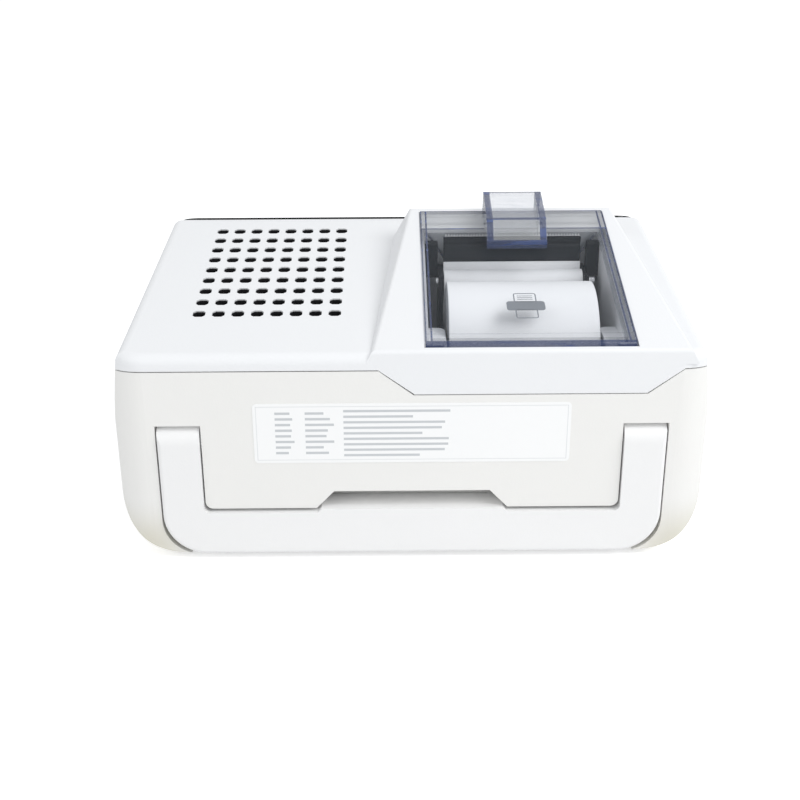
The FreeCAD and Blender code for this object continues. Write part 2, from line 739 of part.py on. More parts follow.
def lower_shell():
    """The tub: handle recess, finger scoop, screw posts and the openings at its front and side."""
    outer = cut("tub_outer", CASE, half_space("tub_top", "0"))
    hollow = cut(
        "tub_hollow",
        CASE_INSIDE,
        handle_recess("recess_lining", "wall"),
        finger_scoop("scoop_lining", "wall"),
    )
    posts = corner_posts("tub_post", "post_radius", "foot_height + wall / 2", "parting_front")
    tub = fuse("tub", cut("tub_shell", outer, hollow), *posts, *board_pillars())
    front_wall = ("front_y - 2 * wall", "front_y + wall")
    tray_cut = box(
        "tray_cut",
        (
            "tray_centre_x - tray_width / 2 - tray_gap",
            "tray_centre_x + tray_width / 2 + tray_gap",
        ),
        front_wall,
        ("tray_height - tray_gap", "tray_top + tray_gap"),
    )
    button_cut = rod(
        "button_cut",
        "y",
        "button_radius + button_gap",
        "button_x",
        "front_y - 2 * wall",
        "button_height",
        "3 * wall",
    )
    pins = rod(
        "handle_pin_bore",
        "x",
        "handle_pin_radius + hinge_play / 3",
        "-handle_width / 2 - 3 * wall",
        "handle_pivot_y",
        "handle_pivot_height",
        "handle_width + 6 * wall",
    )
    bores = corner_posts("tub_bore", "screw_radius + screw_fit", "-wall", "parting_rear")
    sinks = corner_posts(
        "tub_sink",
        "screw_head_radius + screw_fit",
        "-wall",
        "foot_height + wall / 2 + screw_head",
    )
    shell = cut(
        "lower_shell",
        tub,
        handle_recess("recess", "0"),
        finger_scoop("scoop", "0"),
        tongue("tongue_room", "seam"),
        tray_cut,
        button_cut,
        pins,
        *side_cuts(),
        *bores,
        *sinks,
    )
    return node(shell)


def vent_slots():
    """The field of slots above the fan, drawn flat and laid on the slope."""
    half_x = "slot_width / 2"
    half_y = "slot_length / 2"
    corner = "slot_corner"
    first_x = "(vent_centre - (slot_columns - 1) * slot_pitch_x / 2)"
    body = prism(
        "vent_slots",
        "XY_Plane",
        [
            (f"{first_x} - {half_x} + {corner}", f"vent_start - {half_y}"),
            (f"{first_x} + {half_x} - {corner}", f"vent_start - {half_y}"),
            (f"{first_x} + {half_x}", f"vent_start - {half_y} + {corner}"),
            (f"{first_x} + {half_x}", f"vent_start + {half_y} - {corner}"),
            (f"{first_x} + {half_x} - {corner}", f"vent_start + {half_y}"),
            (f"{first_x} - {half_x} + {corner}", f"vent_start + {half_y}"),
            (f"{first_x} - {half_x}", f"vent_start + {half_y} - {corner}"),
            (f"{first_x} - {half_x}", f"vent_start - {half_y} + {corner}"),
        ],
        "4 * wall",
    )
    body.AllowCompound = True
    pad = body.Tip
    sketch = pad.Profile[0]
    grid = body.newObject("PartDesign::MultiTransform", "vent_grid")
    patterns = []
    for name, direction, count, pitch in (
        ("vent_across", "H_Axis", "slot_columns", "slot_pitch_x"),
        ("vent_along", "V_Axis", "slot_rows", "slot_pitch_y"),
    ):
        pattern = body.newObject("PartDesign::LinearPattern", name)
        pattern.Direction = (sketch, [direction])
        tie(pattern, "Length", f"({count} - 1) * {pitch}")
        tie(pattern, "Occurrences", count)
        patterns.append(pattern)
    grid.Originals = [pad]
    grid.Transformations = patterns
    body.Tip = grid
    return on_vent_slope(body)


def lid_opening(label, grow, depth):
    """The room that the lid closes, drawn flat and laid on the block's slope."""
    room = flat_box(
        label,
        (f"lid_left - lid_gap - {grow}", f"lid_right + lid_gap + {grow}"),
        (f"-lid_gap - {grow}", f"lid_length + lid_gap + {grow}"),
        (f"-({depth})", "2 * lid_rim"),
    )
    return on_lid_slope(room)


def hinge_bar(label, radius, low, length):
    """A round bar on the axis of the lid's hinge."""
    return rod(
        label,
        "x",
        radius,
        low,
        "lid_y + hinge_along * cos(block_slope * 1 deg) + hinge_drop * sin(block_slope * 1 deg)",
        "lid_z + hinge_along * sin(block_slope * 1 deg) - hinge_drop * cos(block_slope * 1 deg)",
        length,
    )


def fan_corners(label, radius, low, high):
    """Four rods at the corners of the fan, drawn flat under the vent."""
    reach = "(fan_side / 2 - fan_screw_inset)"
    return [
        flat_rod(
            f"{label}_{number_x}{number_y}",
            radius,
            f"vent_centre {sign_x} {reach}",
            f"vent_middle {sign_y} {reach}",
            low,
            high,
        )
        for number_x, sign_x in enumerate("-+")
        for number_y, sign_y in enumerate("-+")
    ]


def flat_rod(label, radius, x, y, low, high):
    """An upright rod as a body, so that it can be laid on a slope with the rest."""
    body = doc.addObject("PartDesign::Body", label)
    bar = body.newObject("PartDesign::AdditiveCylinder", label + "_bar")
    tie(bar, "Radius", radius)
    tie(bar, "Height", f"({high}) - ({low})")
    for name, formula in (("x", x), ("y", y), ("z", low)):
        tie(bar, f"Placement.Base.{name}", formula)
    return body


def flat_box(label, x, y, z):
    """A block as a body, so that it can be laid on a slope with the rest."""
    body = doc.addObject("PartDesign::Body", label)
    block = body.newObject("PartDesign::AdditiveBox", label + "_block")
    for side, axis, (low, high) in (("Length", "x", x), ("Width", "y", y), ("Height", "z", z)):
        tie(block, side, f"({high}) - ({low})")
        tie(block, "Placement.Base." + axis, low)
    return body


def screen_room(label, width, length, start, low, high, corner=None):
    """A flat block on the front slope, centred across the case."""
    block = flat_box(
        label,
        (f"-({width}) / 2", f"({width}) / 2"),
        (start, f"{start} + {length}"),
        (low, high),
    )
    if corner:
        rounded(block, corner, lambda edge: runs_along(edge, "z"))
    return on_screen_slope(block)


def upper_shell():
    """The cover: sloping vented top, raised printer block with its collar, screen seat and posts."""
    form = common("cover_form", CASE, half_space("cover_cut", "seam"))
    dip = common("cover_tongue", tongue("tongue", "0"), CASE)
    solid = fuse("cover_solid", form, dip, rounded_block())
    hollow = fuse("cover_hollow", CASE_INSIDE, block_form("block_inside", "wall"))
    collar = lid_opening("collar", "collar_wall", "collar_depth")
    room = cut("cover_room", hollow, collar)
    skin = cut("cover_skin", solid, room)
    rods = corner_posts("cover_post", "post_radius", "parting_front + seam", "ridge_height")
    pillars = common("cover_pillars", fuse("cover_posts", *rods), CASE)
    pad_rods = fan_corners("fan_pad", "fan_pad_radius", "-fan_top", "-wall / 2")
    pads = [on_vent_slope(pad) for pad in pad_rods]
    pad_pilots = [
        on_vent_slope(pilot)
        for pilot in fan_corners("fan_pilot", "fan_screw_radius + hinge_play", "-fan_top - 1", "-wall")
    ]
    seat = screen_room(
        "screen_seat",
        "glass_width + 2 * display_gap",
        "glass_length + 2 * display_gap",
        "glass_start - display_gap",
        "glass_proud - glass_thick - display_gap",
        "4 * wall",
        "glass_corner",
    )
    window = screen_room(
        "screen_window",
        "display_width + 4 * display_gap",
        "display_length + 4 * display_gap",
        "glass_start + (glass_length - display_length) / 2 - 2 * display_gap",
        "-4 * wall",
        "wall",
    )
    pin_bore = hinge_bar(
        "lid_pin_bore",
        "hinge_pin_radius + hinge_play / 3",
        "lid_left - lid_gap - collar_wall - wall",
        "lid_width + 2 * (lid_gap + collar_wall + wall)",
    )
    pilots = corner_posts("cover_pilot", "screw_radius + hinge_play", "0", "parting_front + 16")
    shell = cut(
        "upper_shell",
        fuse("cover_body", skin, pillars, *pads),
        lid_opening("lid_room", "0", "3 * lid_rim"),
        seat,
        window,
        vent_slots(),
        pin_bore,
        *pilots,
        *pad_pilots,
    )
    return node(shell)


def bay_form(label, inset):
    """The paper bay as a solid, stepped at the rear over the handle recess."""
    return prism(
        label,
        "YZ_Plane",
        [
            (f"bay_step_y + {inset}", f"bay_floor + {inset}"),
            (f"bay_far_y - {inset}", f"bay_floor + {inset}"),
            (f"bay_far_y - {inset}", f"bay_far_z + 2 * {inset}"),
            (f"bay_rear_y + {inset}", f"bay_rear_z + 2 * {inset}"),
            (f"bay_rear_y + {inset}", f"bay_step_z + {inset}"),
            (f"bay_step_y + {inset}", f"bay_step_z + {inset}"),
        ],
        f"bay_right - bay_left - 2 * {inset}",
        "(bay_left + bay_right) / 2",
    )


def printer_bay():
    """The open box under the lid that holds the paper roll, with a rest on each side of the roll."""
    outer = bay_form("bay_outer", "0")
    inner = bay_form("bay_inner", "bay_wall")
    rests = [
        box(
            name,
            (low, high),
            ("bay_rear_y", "bay_rear_y + bay_wall + bay_step_run"),
            ("bay_floor", "bay_floor_top + bay_step_height"),
        )
        for name, low, high in (
            ("rest_left", "bay_left", "paper_left - 2 * printer_gap"),
            ("rest_right", "paper_right + 2 * printer_gap", "bay_right"),
        )
    ]
    inside = common("bay_rests", fuse("bay_rest_blocks", *rests), outer)
    return node(fuse("printer_bay", cut("bay_tub", outer, inner), inside))


def printer_frame():
    """Two cheeks joined by a foot and a back beam. They carry the platen, the head and the motor."""
    near = "(platen_y - platen_radius - 1)"
    far = "(head_y + 7)"
    top = "(platen_height + 4)"
    cheeks = [
        box(name, (low, high), (near, far), ("bay_floor_top", top))
        for name, low, high in (
            ("cheek_plate_left", "cheek_left - cheek", "cheek_left"),
            ("cheek_plate_right", "cheek_right", "cheek_right + cheek"),
        )
    ]
    foot = box(
        "frame_foot",
        ("cheek_left - cheek", "cheek_right + cheek"),
        ("motor_y - motor_radius", far),
        ("bay_floor_top", "bay_floor_top + 2 * cheek"),
    )
    beam = box(
        "frame_beam",
        ("cheek_left - cheek", "cheek_right + cheek"),
        (f"{far} - cheek", far),
        ("platen_height - 2 * platen_radius", top),
    )
    bore = rod(
        "platen_bore",
        "x",
        "platen_shaft_radius + hinge_play",
        "cheek_left - 2 * cheek",
        "platen_y",
        "platen_height",
        "paper_width + 6 * cheek",
    )
    return node(cut("printer_frame", fuse("frame_plates", foot, beam, *cheeks), bore))


def print_head():
    """The thermal head: a ceramic strip on its heat sink, behind the paper."""
    strip = box(
        "head_strip",
        ("paper_left", "paper_right"),
        ("head_y", "head_y + 1"),
        ("platen_height - platen_radius", "platen_height + 3"),
    )
    sink = box(
        "head_sink",
        ("paper_left", "paper_right"),
        ("head_y + 1", "head_y + 7 - cheek"),
        ("platen_height - 2 * platen_radius", "platen_height + 3"),
    )
    return node(fuse("print_head", strip, sink))


def feed_motor():
    can = rod(
        "feed_motor",
        "x",
        "motor_radius",
        "cheek_right - motor_length",
        "motor_y",
        "motor_height",
        "motor_length",
    )
    return node(can)


def paper_roll():
    """The roll with its leading end drawn up between the platen and the head."""
    angle = "(paper_leaves * 1 deg)"
    leave_y = f"(roll_y + roll_radius * cos({angle}))"
    leave_z = f"(roll_height - roll_radius * sin({angle}))"
    thick = "paper_thickness"
    bend_far = f"({leave_z} + (strip_y + {thick} - {leave_y}) / tan({angle}))"
    bend_near = (
        f"({leave_z} + {thick} * sin({angle})"
        f" + (strip_y - {leave_y} + {thick} * cos({angle})) / tan({angle}))"
    )
    centre = "(paper_left + paper_right) / 2"
    strip = prism(
        "paper_end",
        "YZ_Plane",
        [
            (leave_y, leave_z),
            (f"strip_y + {thick}", bend_far),
            (f"strip_y + {thick}", "platen_height + paper_rise"),
            ("strip_y", "platen_height + paper_rise"),
            ("strip_y", bend_near),
            (f"{leave_y} - {thick} * cos({angle})", f"{leave_z} + {thick} * sin({angle})"),
        ],
        "paper_width",
        centre,
    )
    turns = rod("roll_turns", "x", "roll_radius", "paper_left", "roll_y", "roll_height", "paper_width")
    hole = rod(
        "roll_hole",
        "x",
        "roll_core_radius",
        "paper_left - cheek",
        "roll_y",
        "roll_height",
        "paper_width + 2 * cheek",
    )
    return node(cut("paper_roll", fuse("roll_and_end", turns, strip), hole))


def tube(label, axis, outer, inner, x, y, z, length):
    """A round bar with a hole along it."""
    return cut(
        label,
        rod(label + "_outside", axis, outer, x, y, z, length),
        rod(label + "_inside", axis, inner, x, y, z, length),
    )


def roll_core():
    return node(
        tube(
            "roll_core",
            "x",
            "roll_core_radius",
            "roll_core_radius - roll_core_wall",
            "paper_left",
            "roll_y",
            "roll_height",
            "paper_width",
        )
    )


def platen():
    """The rubber sleeve and the steel shaft that turn together."""
    sleeve = tube(
        "platen_roller",
        "x",
        "platen_radius",
        "platen_shaft_radius",
        "paper_left",
        "platen_y",
        "platen_height",
        "paper_width",
    )
    shaft = rod(
        "platen_shaft",
        "x",
        "platen_shaft_radius",
        "cheek_left - cheek - 1",
        "platen_y",
        "platen_height",
        "cheek_right - cheek_left + 2 * cheek + 4",
    )
    return node(sleeve), node(shaft)


def printer_lid():
    """The clear lid: window, rim, hinge barrel, deep far wall and hollow finger grip."""
    rim_low = "-(lid_rim - lid_proud)"
    shell = flat_box(
        "lid_shell",
        ("lid_left", "lid_right"),
        ("hinge_along", "lid_length"),
        (rim_low, "lid_proud"),
    )
    inside = flat_box(
        "lid_inside",
        ("lid_left + lid_rim_wall", "lid_right - lid_rim_wall"),
        ("lid_rim", "lid_length - lid_rim_wall"),
        ("-2 * lid_rim", "lid_proud - lid_plate"),
    )
    barrel = rod(
        "lid_barrel", "x", "lid_rim / 2", "lid_left", "hinge_along", "-hinge_drop", "lid_width"
    )
    apron = prism(
        "lid_far_wall",
        "XZ_Plane",
        [
            ("(lid_left + lid_right - apron_foot) / 2", "-lid_apron"),
            ("(lid_left + lid_right + apron_foot) / 2", "-lid_apron"),
            ("lid_right - lid_rim_wall / 2", "-lid_rim / 2"),
            ("lid_right - lid_rim_wall / 2", "0"),
            ("lid_left + lid_rim_wall / 2", "0"),
            ("lid_left + lid_rim_wall / 2", "-lid_rim / 2"),
        ],
        "lid_rim_wall",
        "lid_length - apron_setback - lid_rim_wall / 2",
    )
    centre = "(lid_left + lid_right) / 2"
    grip_top = "(lid_proud + grip_rise)"
    grip_near = "(lid_length - grip_length)"
    grip = prism(
        "grip_block",
        "YZ_Plane",
        [
            (grip_near, "0"),
            ("lid_length", "0"),
            ("lid_length", grip_top),
            (f"{grip_near} + grip_rise", grip_top),
            (grip_near, "lid_proud + grip_rise / 3"),
        ],
        "grip_width",
        centre,
    )
    hollow = prism(
        "grip_hollow",
        "YZ_Plane",
        [
            (f"{grip_near} + grip_rise + grip_wall", "lid_proud"),
            ("lid_length + grip_wall", "lid_proud"),
            ("lid_length + grip_wall", f"{grip_top} - grip_wall"),
            (f"{grip_near} + grip_rise + grip_wall", f"{grip_top} - grip_wall"),
        ],
        "grip_width - 2 * grip_wall",
        centre,
    )
    bore_depth = "(hinge_pin_length - lid_gap - collar_wall + lid_gap)"
    bores = [
        rod(name, "x", "hinge_pin_radius + hinge_play", low, "hinge_along", "-hinge_drop", length)
        for name, low, length in (
            ("lid_bore_left", "lid_left - lid_gap", f"{bore_depth} + lid_gap"),
            ("lid_bore_right", f"lid_right - {bore_depth}", f"{bore_depth} + lid_gap"),
        )
    ]
    solid = fuse("lid_solid", cut("lid_hood", fuse("lid_outside", shell, barrel), inside), apron, grip)
    return node(on_lid_slope(cut("printer_lid", solid, hollow, *bores)))


def lid_pins():
    left = hinge_bar(
        "lid_pin_left", "hinge_pin_radius", "lid_left - lid_gap - collar_wall", "hinge_pin_length"
    )
    right = hinge_bar(
        "lid_pin_right",
        "hinge_pin_radius",
        "lid_right + lid_gap + collar_wall - hinge_pin_length",
        "hinge_pin_length",
    )
    return node(left), node(right)


def handle():
    """The U-shaped carrying handle, round at the ends of its arms, raised in the middle of its bar."""
    face = prism(
        "handle_face",
        "XZ_Plane",
        [
            ("-handle_width / 2", "handle_bottom"),
            ("handle_width / 2", "handle_bottom"),
            ("handle_width / 2", "handle_top + wall"),
            ("arm_inner", "handle_top + wall"),
            ("arm_inner", "bar_top"),
            ("handle_raise_half + handle_raise", "bar_top"),
            ("handle_raise_half", "bar_top + handle_raise"),
            ("-handle_raise_half", "bar_top + handle_raise"),
            ("-handle_raise_half - handle_raise", "bar_top"),
            ("-arm_inner", "bar_top"),
            ("-arm_inner", "handle_top + wall"),
            ("-handle_width / 2", "handle_top + wall"),
        ],
        "handle_thick",
        "handle_pivot_y",
    )
    rounded(
        face,
        "handle_outer_radius",
        lambda edge: runs_along(edge, "y") and middle(edge).z < number("handle_bottom") + TOLERANCE,
    )
    rounded(
        face,
        "handle_inner_radius",
        lambda edge: runs_along(edge, "y")
        and abs(middle(edge).z - number("bar_top")) < TOLERANCE
        and abs(abs(middle(edge).x) - number("arm_inner")) < TOLERANCE,
    )
    rounded(
        face,
        "handle_edge",
        lambda edge: edge.BoundBox.YLength < TOLERANCE
        and middle(edge).z < number("handle_top")
        and (
            middle(edge).z < number("bar_top") / 2
            or abs(middle(edge).x) > number("arm_inner") + TOLERANCE
        ),
    )
    side = box(
        "handle_side",
        ("-handle_width", "handle_width"),
        ("handle_y", "handle_y + handle_thick"),
        ("0", "handle_pivot_height"),
    )
    ends = rod(
        "handle_ends",
        "x",
        "handle_thick / 2",
        "-handle_width",
        "handle_pivot_y",
        "handle_pivot_height",
        "2 * handle_width",
    )
    bore = rod(
        "handle_bore",
        "x",
        "handle_pin_radius + hinge_play",
        "-handle_width",
        "handle_pivot_y",
        "handle_pivot_height",
        "2 * handle_width",
    )
    body = common("handle_body", face, fuse("handle_profile", side, ends))
    return node(cut("handle", body, bore))


def handle_pins():
    length = "(handle_arm + 2 * handle_gap + 2 * wall)"
    left = rod(
        "handle_pin_left",
        "x",
        "handle_pin_radius",
        "-(handle_width / 2 + handle_gap + wall)",
        "handle_pivot_y",
        "handle_pivot_height",
        length,
    )
    right = rod(
        "handle_pin_right",
        "x",
        "handle_pin_radius",
        "arm_inner - handle_gap - wall",
        "handle_pivot_y",
        "handle_pivot_height",
        length,
    )
    return node(left), node(right)


def feet():
    for end, place_y in (("rear", "rear_y + foot_inset_y"), ("front", "front_y - foot_inset_y")):
        for side, sign in (("left", "-"), ("right", "")):
            place_x = f"{sign}(half_width - foot_inset_x)"
            foot = rod(f"foot_{end}_{side}", "z", "foot_radius", place_x, place_y, "0", "foot_height")
            node(foot)


def case_screws():
    """Four screws from below that hold the two shells together."""
    seat = "foot_height + wall / 2"
    shanks = corner_posts("screw_shank", "screw_radius", f"{seat} + screw_head", "parting_front + 12")
    heads = corner_posts("screw_cap", "screw_head_radius", seat, f"{seat} + screw_head")
    return node(
        group(
            "case_screws",
            *[fuse(head.Label + "_screw", head, shank) for head, shank in zip(heads, shanks)],
        )
    )


def fan():
    """The fan under the vent: square frame with struts, a bladed rotor and four screws."""
    reach = "fan_side / 2"
    x = "vent_centre"
    y = "vent_middle"
    frame_box = flat_box(
        "fan_box",
        (f"{x} - {reach}", f"{x} + {reach}"),
        (f"{y} - {reach}", f"{y} + {reach}"),
        ("-fan_bottom", "-fan_top"),
    )
    air = flat_rod("fan_air", "fan_bore_radius", x, y, "-fan_bottom - 1", "-fan_top + 1")
    hub = flat_rod("fan_hub", "fan_hub_radius", x, y, "-fan_bottom", "-fan_bottom + hub_plate")
    struts = [
        flat_box(
            name,
            (f"{x} - {reach_x}", f"{x} + {reach_x}"),
            (f"{y} - {reach_y}", f"{y} + {reach_y}"),
            ("-fan_bottom", "-fan_bottom + hub_plate"),
        )
        for name, reach_x, reach_y in (
            ("fan_strut_across", "fan_bore_radius", "strut_width / 2"),
            ("fan_strut_along", "strut_width / 2", "fan_bore_radius"),
        )
    ]
    shaft_bore = flat_rod(
        "fan_shaft_bore", "fan_shaft_radius + hinge_play", x, y, "-fan_bottom - 1", "-fan_bottom + 4"
    )
    holes = fan_corners("fan_hole", "fan_screw_radius + hinge_play", "-fan_bottom - 1", "-fan_top + 1")
    frame = cut(
        "fan_frame", fuse("fan_parts", cut("fan_ring", frame_box, air), hub, *struts), shaft_bore, *holes
    )
    node(on_vent_slope(frame))
    rotor_low = "(-fan_bottom + hub_plate + rotor_gap)"
    rotor_high = "(-fan_top - rotor_gap)"
    count = int(number("fan_blades"))
    blades = []
    for index in range(count):
        blade = doc.addObject("Part::Box", f"fan_blade_{index}")
        turn = Rotation(AXES["z"], 360 * index / count) * Rotation(AXES["x"], number("blade_twist"))
        corner = Vector(
            number("fan_hub_radius - wall"),
            number("-blade_chord / 2"),
            number("-blade_thick / 2"),
        )
        start = turn.multVec(corner)
        blade.Placement = Placement(
            Vector(number(x), number(y), number(f"({rotor_low} + {rotor_high}) / 2")) + start, turn
        )
        tie(blade, "Length", "fan_bore_radius - fan_tip_gap - fan_hub_radius + wall")
        tie(blade, "Width", "blade_chord")
        tie(blade, "Height", "blade_thick")
        blades.append(blade)
    cap = flat_rod("fan_cap", "fan_hub_radius", x, y, rotor_low, rotor_high)
    shaft = flat_rod("fan_shaft", "fan_shaft_radius", x, y, "-fan_bottom + 0.2", f"{rotor_low} + 1")
    node(on_vent_slope(fuse("fan_rotor", cap, shaft, *blades)))
    shanks = fan_corners("fan_shank", "fan_screw_radius", "-fan_bottom - 0.5", "-wall - 0.1")
    heads = fan_corners("fan_screw_cap", "fan_screw_radius * 1.8", "-fan_bottom - 2", "-fan_bottom")
    screws = [fuse(head.Label + "_screw", head, shank) for head, shank in zip(heads, shanks)]
    node(on_vent_slope(group("fan_screws", *screws)))


def screen():
    """The glass on the front slope and the display behind it."""
    glass = screen_room(
        "screen_glass",
        "glass_width",
        "glass_length",
        "glass_start",
        "glass_proud - glass_thick",
        "glass_proud",
        "glass_corner",
    )
    display = screen_room(
        "display_module",
        "display_width",
        "display_length",
        "glass_start + (glass_length - display_length) / 2",
        "glass_proud - glass_thick - display_gap - display_depth",
        "glass_proud - glass_thick - display_gap",
    )
    return node(glass), node(display)


def standoff_places(centre_x, centre_y, width, length, inset="4"):
    return [
        (f"{centre_x} {sx} ({width} / 2 - {inset})", f"{centre_y} {sy} ({length} / 2 - {inset})")
        for sx in "-+"
        for sy in "-+"
    ]


def boards():
    """The main board and the mains supply, each on four pillars of the tub."""
    node(
        box(
            "main_board",
            ("board_centre_x - board_width / 2", "board_centre_x + board_width / 2"),
            ("board_centre_y - board_length / 2", "board_centre_y + board_length / 2"),
            ("board_height", "board_height + board_thick"),
        )
    )
    node(
        box(
            "supply_board",
            ("supply_centre_x - supply_width / 2", "supply_centre_x + supply_width / 2"),
            ("supply_centre_y - supply_length / 2", "supply_centre_y + supply_length / 2"),
            ("supply_height", "supply_height + board_thick"),
        )
    )
    top = "supply_height + board_thick"
    node(
        box(
            "supply_transformer",
            ("supply_centre_x - 22", "supply_centre_x + 2"),
            ("supply_centre_y - 14", "supply_centre_y + 10"),
            (top, f"{top} + 20"),
        )
    )
    capacitors = [
        rod(f"capacitor_{n}", "z", "5", "supply_centre_x + 18", f"supply_centre_y - 14 + {14 * n}", top, "18")
        for n in range(3)
    ]
    node(group("supply_capacitors", *capacitors))


def board_pillars():
    """Pillars of the tub under the circuit boards."""
    pillars = []
    for name, height, places in (
        (
            "main",
            "board_height",
            standoff_places("board_centre_x", "board_centre_y", "board_width", "board_length"),
        ),
        (
            "supply",
            "supply_height",
            standoff_places("supply_centre_x", "supply_centre_y", "supply_width", "supply_length"),
        ),
    ):
        for index, (place_x, place_y) in enumerate(places):
            pillars.append(
                rod(
                    f"{name}_pillar_{index}",
                    "z",
                    "post_radius * 0.75",
                    place_x,
                    place_y,
                    "foot_height + wall / 2",
                    f"{height} - foot_height - wall / 2",
                )
            )
    return pillars


def battery_pack():
    """Three cells side by side in one shrunk sleeve."""
    half = "(3 * cell_radius + pack_skin)"
    pack = prism(
        "battery_pack",
        "XZ_Plane",
        rectangle(
            f"pack_centre_x - {half}",
            f"pack_centre_x + {half}",
            "tub_floor",
            "tub_floor + 2 * (cell_radius + pack_skin)",
        ),
        "cell_length + 2 * pack_skin",
        "pack_centre_y",
    )
    rounded(pack, "cell_radius", lambda edge: runs_along(edge, "y"))
    return node(pack)


def tray_frame():
    """The frame round the card tray: floor, side walls, and end walls that hold the guide rods."""
    near = "frame_near_y"
    far = "frame_far_y"
    centre = "tray_centre_x"
    floor = box(
        "tray_floor",
        (f"{centre} - frame_outer", f"{centre} + frame_outer"),
        (near, far),
        ("tub_floor", "tub_floor + frame_wall"),
    )
    walls = [
        box(name, (low, high), (near, far), ("tub_floor", "frame_top"))
        for name, low, high in (
            ("tray_wall_left", f"{centre} - frame_outer", f"{centre} - frame_inner"),
            ("tray_wall_right", f"{centre} + frame_inner", f"{centre} + frame_outer"),
        )
    ]
    ends = [
        box(
            name,
            (f"{centre} - frame_outer", f"{centre} + frame_outer"),
            (low, high),
            ("tub_floor", "tray_height - frame_gap"),
        )
        for name, low, high in (
            ("tray_end_near", near, f"{near} + frame_wall"),
            ("tray_end_far", f"{far} - frame_wall", far),
        )
    ]
    holes = [
        rod(name, "y", radius, x, f"{near} - 1", "rail_height", "frame_length + 2")
        for name, radius, x in (
            ("rail_hole_left", "rail_radius", f"{centre} - rail_spread"),
            ("rail_hole_right", "rail_radius", f"{centre} + rail_spread"),
            ("screw_hole", "screw_rod_radius + rail_play", centre),
        )
    ]
    return node(cut("tray_frame", fuse("tray_frame_walls", floor, *walls, *ends), *holes))


def tray_rails():
    rails = [
        rod(name, "y", "rail_radius", x, "frame_near_y", "rail_height", "frame_length")
        for name, x in (
            ("rail_left", "tray_centre_x - rail_spread"),
            ("rail_right", "tray_centre_x + rail_spread"),
        )
    ]
    return node(group("tray_rails", *rails))


def card_tray():
    """The tray with its card pocket and the shoe that rides on the guide rods and the lead screw."""
    centre = "tray_centre_x"
    plate = box(
        "tray_plate",
        (f"{centre} - tray_width / 2", f"{centre} + tray_width / 2"),
        ("tray_y - tray_length", "tray_y"),
        ("tray_height", "tray_top"),
    )
    pocket = box(
        "card_pocket",
        (f"{centre} - card_width / 2", f"{centre} + card_width / 2"),
        ("tray_y - card_length", "tray_y - wall"),
        ("tray_top - card_depth", "tray_top + 1"),
    )
    shoe = box(
        "tray_shoe",
        (f"{centre} - rail_spread - rail_drop", f"{centre} + rail_spread + rail_drop"),
        ("shoe_y", "shoe_y + shoe_length"),
        ("rail_height - rail_drop", "tray_height"),
    )
    bores = [
        rod(name, "y", radius, x, "tray_y - tray_length", "rail_height", "tray_length")
        for name, radius, x in (
            ("shoe_bore_left", "rail_radius + rail_play", f"{centre} - rail_spread"),
            ("shoe_bore_right", "rail_radius + rail_play", f"{centre} + rail_spread"),
            ("shoe_bore_screw", "screw_rod_radius + rail_play", centre),
        )
    ]
    return node(cut("card_tray", fuse("tray_and_shoe", plate, shoe), pocket, *bores))


def tray_drive():
    """The square motor and the lead screw that it turns."""
    side = "stepper_side / 2"
    node(
        box(
            "tray_motor",
            (f"tray_centre_x - {side}", f"tray_centre_x + {side}"),
            ("frame_near_y - stepper_length", "frame_near_y"),
            (f"rail_height - {side}", f"rail_height + {side}"),
        )
    )
    node(
        rod(
            "tray_screw",
            "y",
            "screw_rod_radius",
            "tray_centre_x",
            "frame_near_y + 0.2",
            "rail_height",
            "frame_length - 0.2",
        )
    )


def optics():
    """The optical head over the tray: housing with its light ways, lens, lamp and detector board."""
    centre = "tray_centre_x"
    middle_y = "(front_y - optics_setback)"
    top = "(frame_top + optics_height)"
    block = box(
        "optics_block",
        (f"{centre} - frame_outer", f"{centre} + frame_outer"),
        (f"{middle_y} - optics_length / 2", f"{middle_y} + optics_length / 2"),
        ("frame_top", top),
    )
    light_way = rod("light_way", "z", "4", centre, middle_y, "frame_top - 1", "optics_height + 2")
    lamp_way = rod("lamp_way", "y", "2.5", centre, middle_y, "frame_top + 12", "optics_length")
    node(cut("optics_housing", block, light_way, lamp_way))
    node(rod("optics_lens", "z", "4", centre, middle_y, "frame_top + 2", "2.5"))
    node(rod("optics_lamp", "y", "2.5", centre, f"{middle_y} + optics_length / 2 - 8", "frame_top + 12", "8"))
    node(
        box(
            "detector_board",
            (f"{centre} - 12", f"{centre} + 12"),
            (f"{middle_y} - 12", f"{middle_y} + 12"),
            (top, f"{top} + board_thick"),
        )
    )


def power_button():
    """The round button in the front wall and the little switch board behind it."""
    back = "(front_y - wall - button_gap)"
    cap = rod(
        "button_cap",
        "y",
        "button_radius",
        "button_x",
        f"{back} - 1",
        "button_height",
        f"front_y - {back} + 1",
    )
    flange = rod(
        "button_flange",
        "y",
        "button_radius + 1.5",
        "button_x",
        f"{back} - 1.5",
        "button_height",
        "1.5",
    )
    node(fuse("power_button", cap, flange))
    switch_y = f"({back} - 1.5 - button_travel - button_gap)"
    node(
        box(
            "button_board",
            ("button_x - 9", "button_x + 9"),
            (f"{switch_y} - board_thick", switch_y),
            ("tub_floor", "button_height + 9"),
        )
    )


